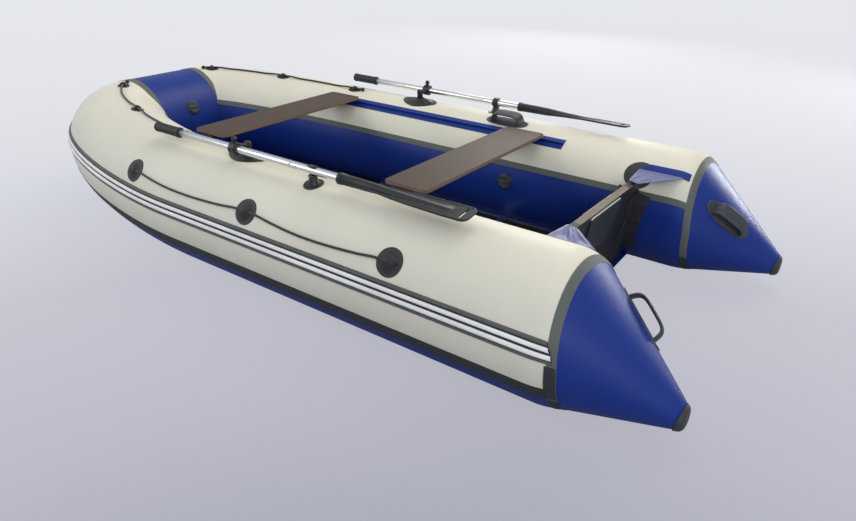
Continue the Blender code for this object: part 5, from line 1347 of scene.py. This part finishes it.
def moulded_blade():
    """Moulded blade: socket, tapering spine, raised rim, long grooves and a cross slot."""
    half = 0.038
    edge = [(0.758, 0.0120), (0.740, 0.0132), (0.723, 0.0150), (0.698, 0.0184), (0.673, 0.0220),
            (0.643, 0.0260), (0.613, 0.0296), (0.573, 0.0326), (0.533, 0.0350), (0.483, 0.0368),
            (0.433, half), (0.377, half), (0.369, 0.0368), (0.363, 0.0340), (0.358, 0.0295),
            (0.355, 0.0240), (0.3535, 0.0190), (0.353, 0.0150)]
    outline = edge + [(x, -y) for x, y in reversed(edge)]
    field = [(x + (0.004 if x < 0.5 else 0.0), y * 0.90) for x, y in outline]
    blade = bevel(plate(outline, 0.0070), 0.0024, 3)
    for side in (-1, 1):
        cut(blade, plate(field, 0.004, side * 0.0044))
    spine_rings = [(0.418, 0.0070, 0.0026), (0.430, 0.0090, 0.0040), (0.498, 0.0120, 0.0062),
                   (0.565, 0.0133, 0.0086), (0.633, 0.0145, 0.0112), (0.675, 0.0153, 0.0138),
                   (0.703, 0.0158, 0.0158), (0.760, 0.0165, 0.0165), (0.8205, 0.0172, 0.0172),
                   (0.8225, 0.0187, 0.0187), (0.8315, 0.0188, 0.0188), (0.833, 0.0180, 0.0180)]

    def point(column, row):
        x, wide, tall = spine_rings[column]
        turn = 2 * math.pi * row / 32
        return x, wide * math.cos(turn), tall * math.sin(turn)

    fuse(blade, skin(len(spine_rings) - 1, 32, point))
    for middle in (-0.026, 0.026):
        for height in (0.0027, -0.0027):
            groove = box((0.415, middle - 0.0028, height - 0.0013),
                         (0.533, middle + 0.0028, height + 0.0013))
            cut(blade, bevel(groove, 0.0008, 1))
    cut(blade, bevel(box((0.377, -0.028, -0.01), (0.385, 0.028, 0.01)), 0.0034, 3))
    cut(blade, lie_along_x(rod(OAR_RADIUS + 0.0003, 0.7525, 0.90, 48)))
    return spun(blade, BLADE_TURN, "X")


def oval_pad(length, width, height, crown, power):
    """Oval rubber pad with a rim and a raised middle. A higher power makes it squarer."""
    steps = 64
    steps_in = [(1.0, -0.0012), (1.0, 0.0012), (0.985, height * 0.8), (0.955, height),
                (0.92, height), (0.89, height * 0.72), (0.80, height * 0.76),
                (0.68, height * 0.9), (0.56, height + crown * 0.25), (0.46, height + crown * 0.6),
                (0.36, height + crown * 0.88), (0.25, height + crown * 0.97),
                (0.14, height + crown), (0.05, height + crown), (0.0, height + crown)]

    def point(column, row):
        share, rise = steps_in[column]
        turn = 2 * math.pi * (row % steps) / steps
        x, y = squared(math.cos(turn), 2 / power), squared(math.sin(turn), 2 / power)
        return length / 2 * x * share, width / 2 * y * share, rise

    return skin(14, steps, point)


def tube_height(y):
    """Height of the tube's upper side at a distance from the boat's middle line."""
    return TUBE + math.sqrt(TUBE ** 2 - (y - SPREAD) ** 2)


def make_oarlocks():
    """Oval base with a boss, pin and clamp ring round the shaft, and a ball knob."""
    surface = tube_height(PIN_Y)
    base = oval_pad(0.176, 0.112, 0.0050, 0.0052, 1.7)
    fuse(base, turned([(0.0, -0.004), (0.0272, -0.004), (0.0268, 0.004), (0.0222, 0.0105),
                       (0.0205, 0.0140), (0.0192, 0.0154), (0.0, 0.0155)]))
    for angle in (0, 180):
        web = spun(bevel(box((0.012, -0.0028, 0.0), (0.060, 0.0028, 0.0105)), 0.0016), angle, "Z")
        for vertex in web.data.vertices:
            if abs(vertex.co.x) > 0.045 and vertex.co.z > 0.006:
                vertex.co.z = 0.0062
        fuse(base, web)
    for vertex in base.data.vertices:
        if vertex.co.z < 0.0115:
            vertex.co.z -= surface - tube_height(vertex.co.y + PIN_Y)
    cut(base, rod(0.0076, 0.0030, 0.03))
    hand_over_pair(moved(base, OARLOCK_X, PIN_Y, surface), "oarlock_pad", "hull",
                   BLACK, ("{side}_oarlock_base",), 40)
    make_oarlock_ring(surface + 0.0155)
    make_knob(OAR_Z + 0.022)


def make_oarlock_ring(boss_top):
    """Ring round the shaft on an arm from the pin, with a lip and a hole for the knob's stud."""
    x, y, z = OARLOCK_X, OAR_Y, OAR_Z
    ring = lie_along_x(turned([
        (0.0130, -0.0140), (0.0208, -0.0140), (0.0221, -0.0125), (0.0221, 0.0125),
        (0.0208, 0.0140), (0.0130, 0.0140), (0.0130, -0.0140)]))
    moved(ring, x, y, z)
    arm = box((x - 0.010, PIN_Y - 0.0115, z - 0.0085), (x + 0.010, y - 0.017, z + 0.0085))
    fuse(ring, bevel(arm, 0.0036, 3))
    collar = turned([(0.0, boss_top + 0.0006), (0.0125, boss_top + 0.0006),
                     (0.0132, boss_top + 0.0020), (0.0118, z - 0.004), (0.0112, z + 0.0105),
                     (0.0095, z + 0.0120), (0.0, z + 0.0122)], 40)
    fuse(ring, moved(collar, x, PIN_Y, 0))
    fuse(ring, moved(rod(0.0070, boss_top - 0.0122, z), x, PIN_Y, 0))
    lip = box((x - 0.009, y - 0.0065, z + 0.0205), (x + 0.009, y + 0.0065, z + 0.0222))
    fuse(ring, bevel(lip, 0.0008))
    cut(ring, moved(rod(0.0043, z + 0.0165, z + 0.04, 24), x, y, 0))
    cut(ring, moved(lie_along_x(rod(0.0129, -0.03, 0.03, 48)), x, y, z))
    hand_over_pair(ring, "oarlock_clamp", "{side}_oar", BLACK,
                   ("{side}_oarlock",), 40)


def make_knob(top):
    """Ball knob with a fluted rim, on its stud."""
    profile = [(0.0, top - 0.0048), (0.0040, top - 0.0048), (0.0040, top + 0.0004),
               (0.0066, top + 0.0004), (0.0066, top + 0.0020), (0.0052, top + 0.0032)]
    profile += arc_points(0, top + 0.0116, 0.0100, 0.0100, -60, 90, 12)
    knob = ribbed_rim(turned(profile, 40), 0.0085,
                      lambda turn: 1.0 - 0.05 * max(0.0, math.cos(turn * 8)) ** 2)
    hand_over_pair(moved(knob, OARLOCK_X, OAR_Y, 0), "clamp_knob", "{side}_oarlock_knob",
                   BLACK, ("{side}_oarlock_knob",), 40)


def make_clips():
    """Hook round the stowed shaft on a round rubber pad."""
    surface = tube_height(OAR_Y)
    inner, outer = 0.0131, 0.0176
    outline = [(0.0105, -outer)] + arc_points(0, 0, outer, outer, 270, 90, 20)
    outline += [(0.0125, outer + 0.0012), (0.0135, outer), (0.0098, inner)]
    outline += arc_points(0, 0, inner, inner, 90, 270, 20)
    outline += [(0.0098, -inner), (0.0135, -outer), (0.0125, -outer - 0.0012)]
    hook = bevel(stand_across_x(plate(outline, 0.024)), 0.0012)
    moved(hook, CLIP_X, OAR_Y, OAR_Z)
    rim, top = 0.0045, 0.0150
    pad = turned([(0.0335, -0.0015), (0.0335, 0.0012), (0.0322, 0.0028), (0.0300, 0.0032),
                  (0.0285, 0.0026), (0.0200, 0.0040), (0.0150, 0.0090), (0.0125, top), (0.0, top)])
    upper = OAR_Z - outer - surface + 0.002
    for vertex in pad.data.vertices:
        if vertex.co.z > rim:
            vertex.co.z = rim + (vertex.co.z - rim) / (top - rim) * (upper - rim)
        else:
            vertex.co.z -= surface - tube_height(vertex.co.y + OAR_Y)
    fuse(hook, moved(pad, CLIP_X, OAR_Y, surface))
    hand_over_pair(hook, "oar_clip_hook", "hull", BLACK, ("{side}_oar_clip",), 40)


# Carrying handles

def strap_handle():
    """Moulded grab handle: a rounded strap arched between two feet."""
    half, rise, bar, width = 0.075, 0.042, 0.009, 0.050
    path = [Vector((-half + 0.010, 0, -0.004)), Vector((-half + 0.011, 0, 0.010)),
            Vector((-half + 0.018, 0, rise * 0.72)), Vector((-half * 0.52, 0, rise - bar * 0.45)),
            Vector((0, 0, rise - bar * 0.40))]
    line = rounded(path + [Vector((-p.x, 0, p.z)) for p in reversed(path[:-1])])

    def point(column, row):
        along = (line[min(column + 1, len(line) - 1)] - line[max(column - 1, 0)]).normalized()
        turn = 2 * math.pi * row / 20
        side = squared(math.cos(turn), 0.6) * width / 2
        out = squared(math.sin(turn), 0.7) * bar / 2
        return line[column] + Vector((0, side, 0)) + along.cross(Vector((0, 1, 0))) * out

    return skin(len(line) - 1, 20, point)


def handle_pad():
    return oval_pad(0.190, 0.066, 0.0036, 0.0, 2.6)


def make_handles():
    handle = join(drape_on_tube(handle_pad()), strap_handle())
    place(handle, hull_frame(*LIFT_HANDLE_PLACE))
    hand_over(mirrored(handle), "starboard_lift_handle_strap", "hull",
              HANDLE_RUBBER, ("starboard_lift_handle",), 45)
    share = CONE_HANDLE_ARC / CONE_LENGTH
    matrix = cone_frame(share, CONE_HANDLE_ANGLE)
    handle = place(join(sunk_on_cone(handle_pad(), matrix, share), strap_handle()), matrix)
    hand_over_pair(handle, "cone_handle_strap", "hull", HANDLE_RUBBER,
                   ("{side}_cone_handle",), 45)


def sunk_on_cone(pad, matrix, share):
    """Lower each point of a flat pad until it lies on the cone."""
    back = matrix.inverted()
    spots = []
    for reach in stops(share - 0.42, share + 0.42, 0.01):
        for angle in stops(CONE_HANDLE_ANGLE - 26, CONE_HANDLE_ANGLE + 26, 1.0):
            if reach <= 1.0:
                spots.append(back @ on_hull(-reach * CONE_LENGTH, angle))
    for vertex in pad.data.vertices:
        near = min(spots, key=lambda p: (p.x - vertex.co.x) ** 2 + (p.y - vertex.co.y) ** 2)
        vertex.co.z += near.z
    return pad


set_up_camera()
set_up_light()
lay_floor(floor_finish())
make_ropes()
make_rope_fittings()
make_tubes()
make_cones()
make_cone_caps()
make_tapes()
make_strake()
make_valves()
make_tow_ring()
make_bottom()
make_gussets()
dress_boards()
make_rails()
make_oars()
make_oarlocks()
make_clips()
make_handles()
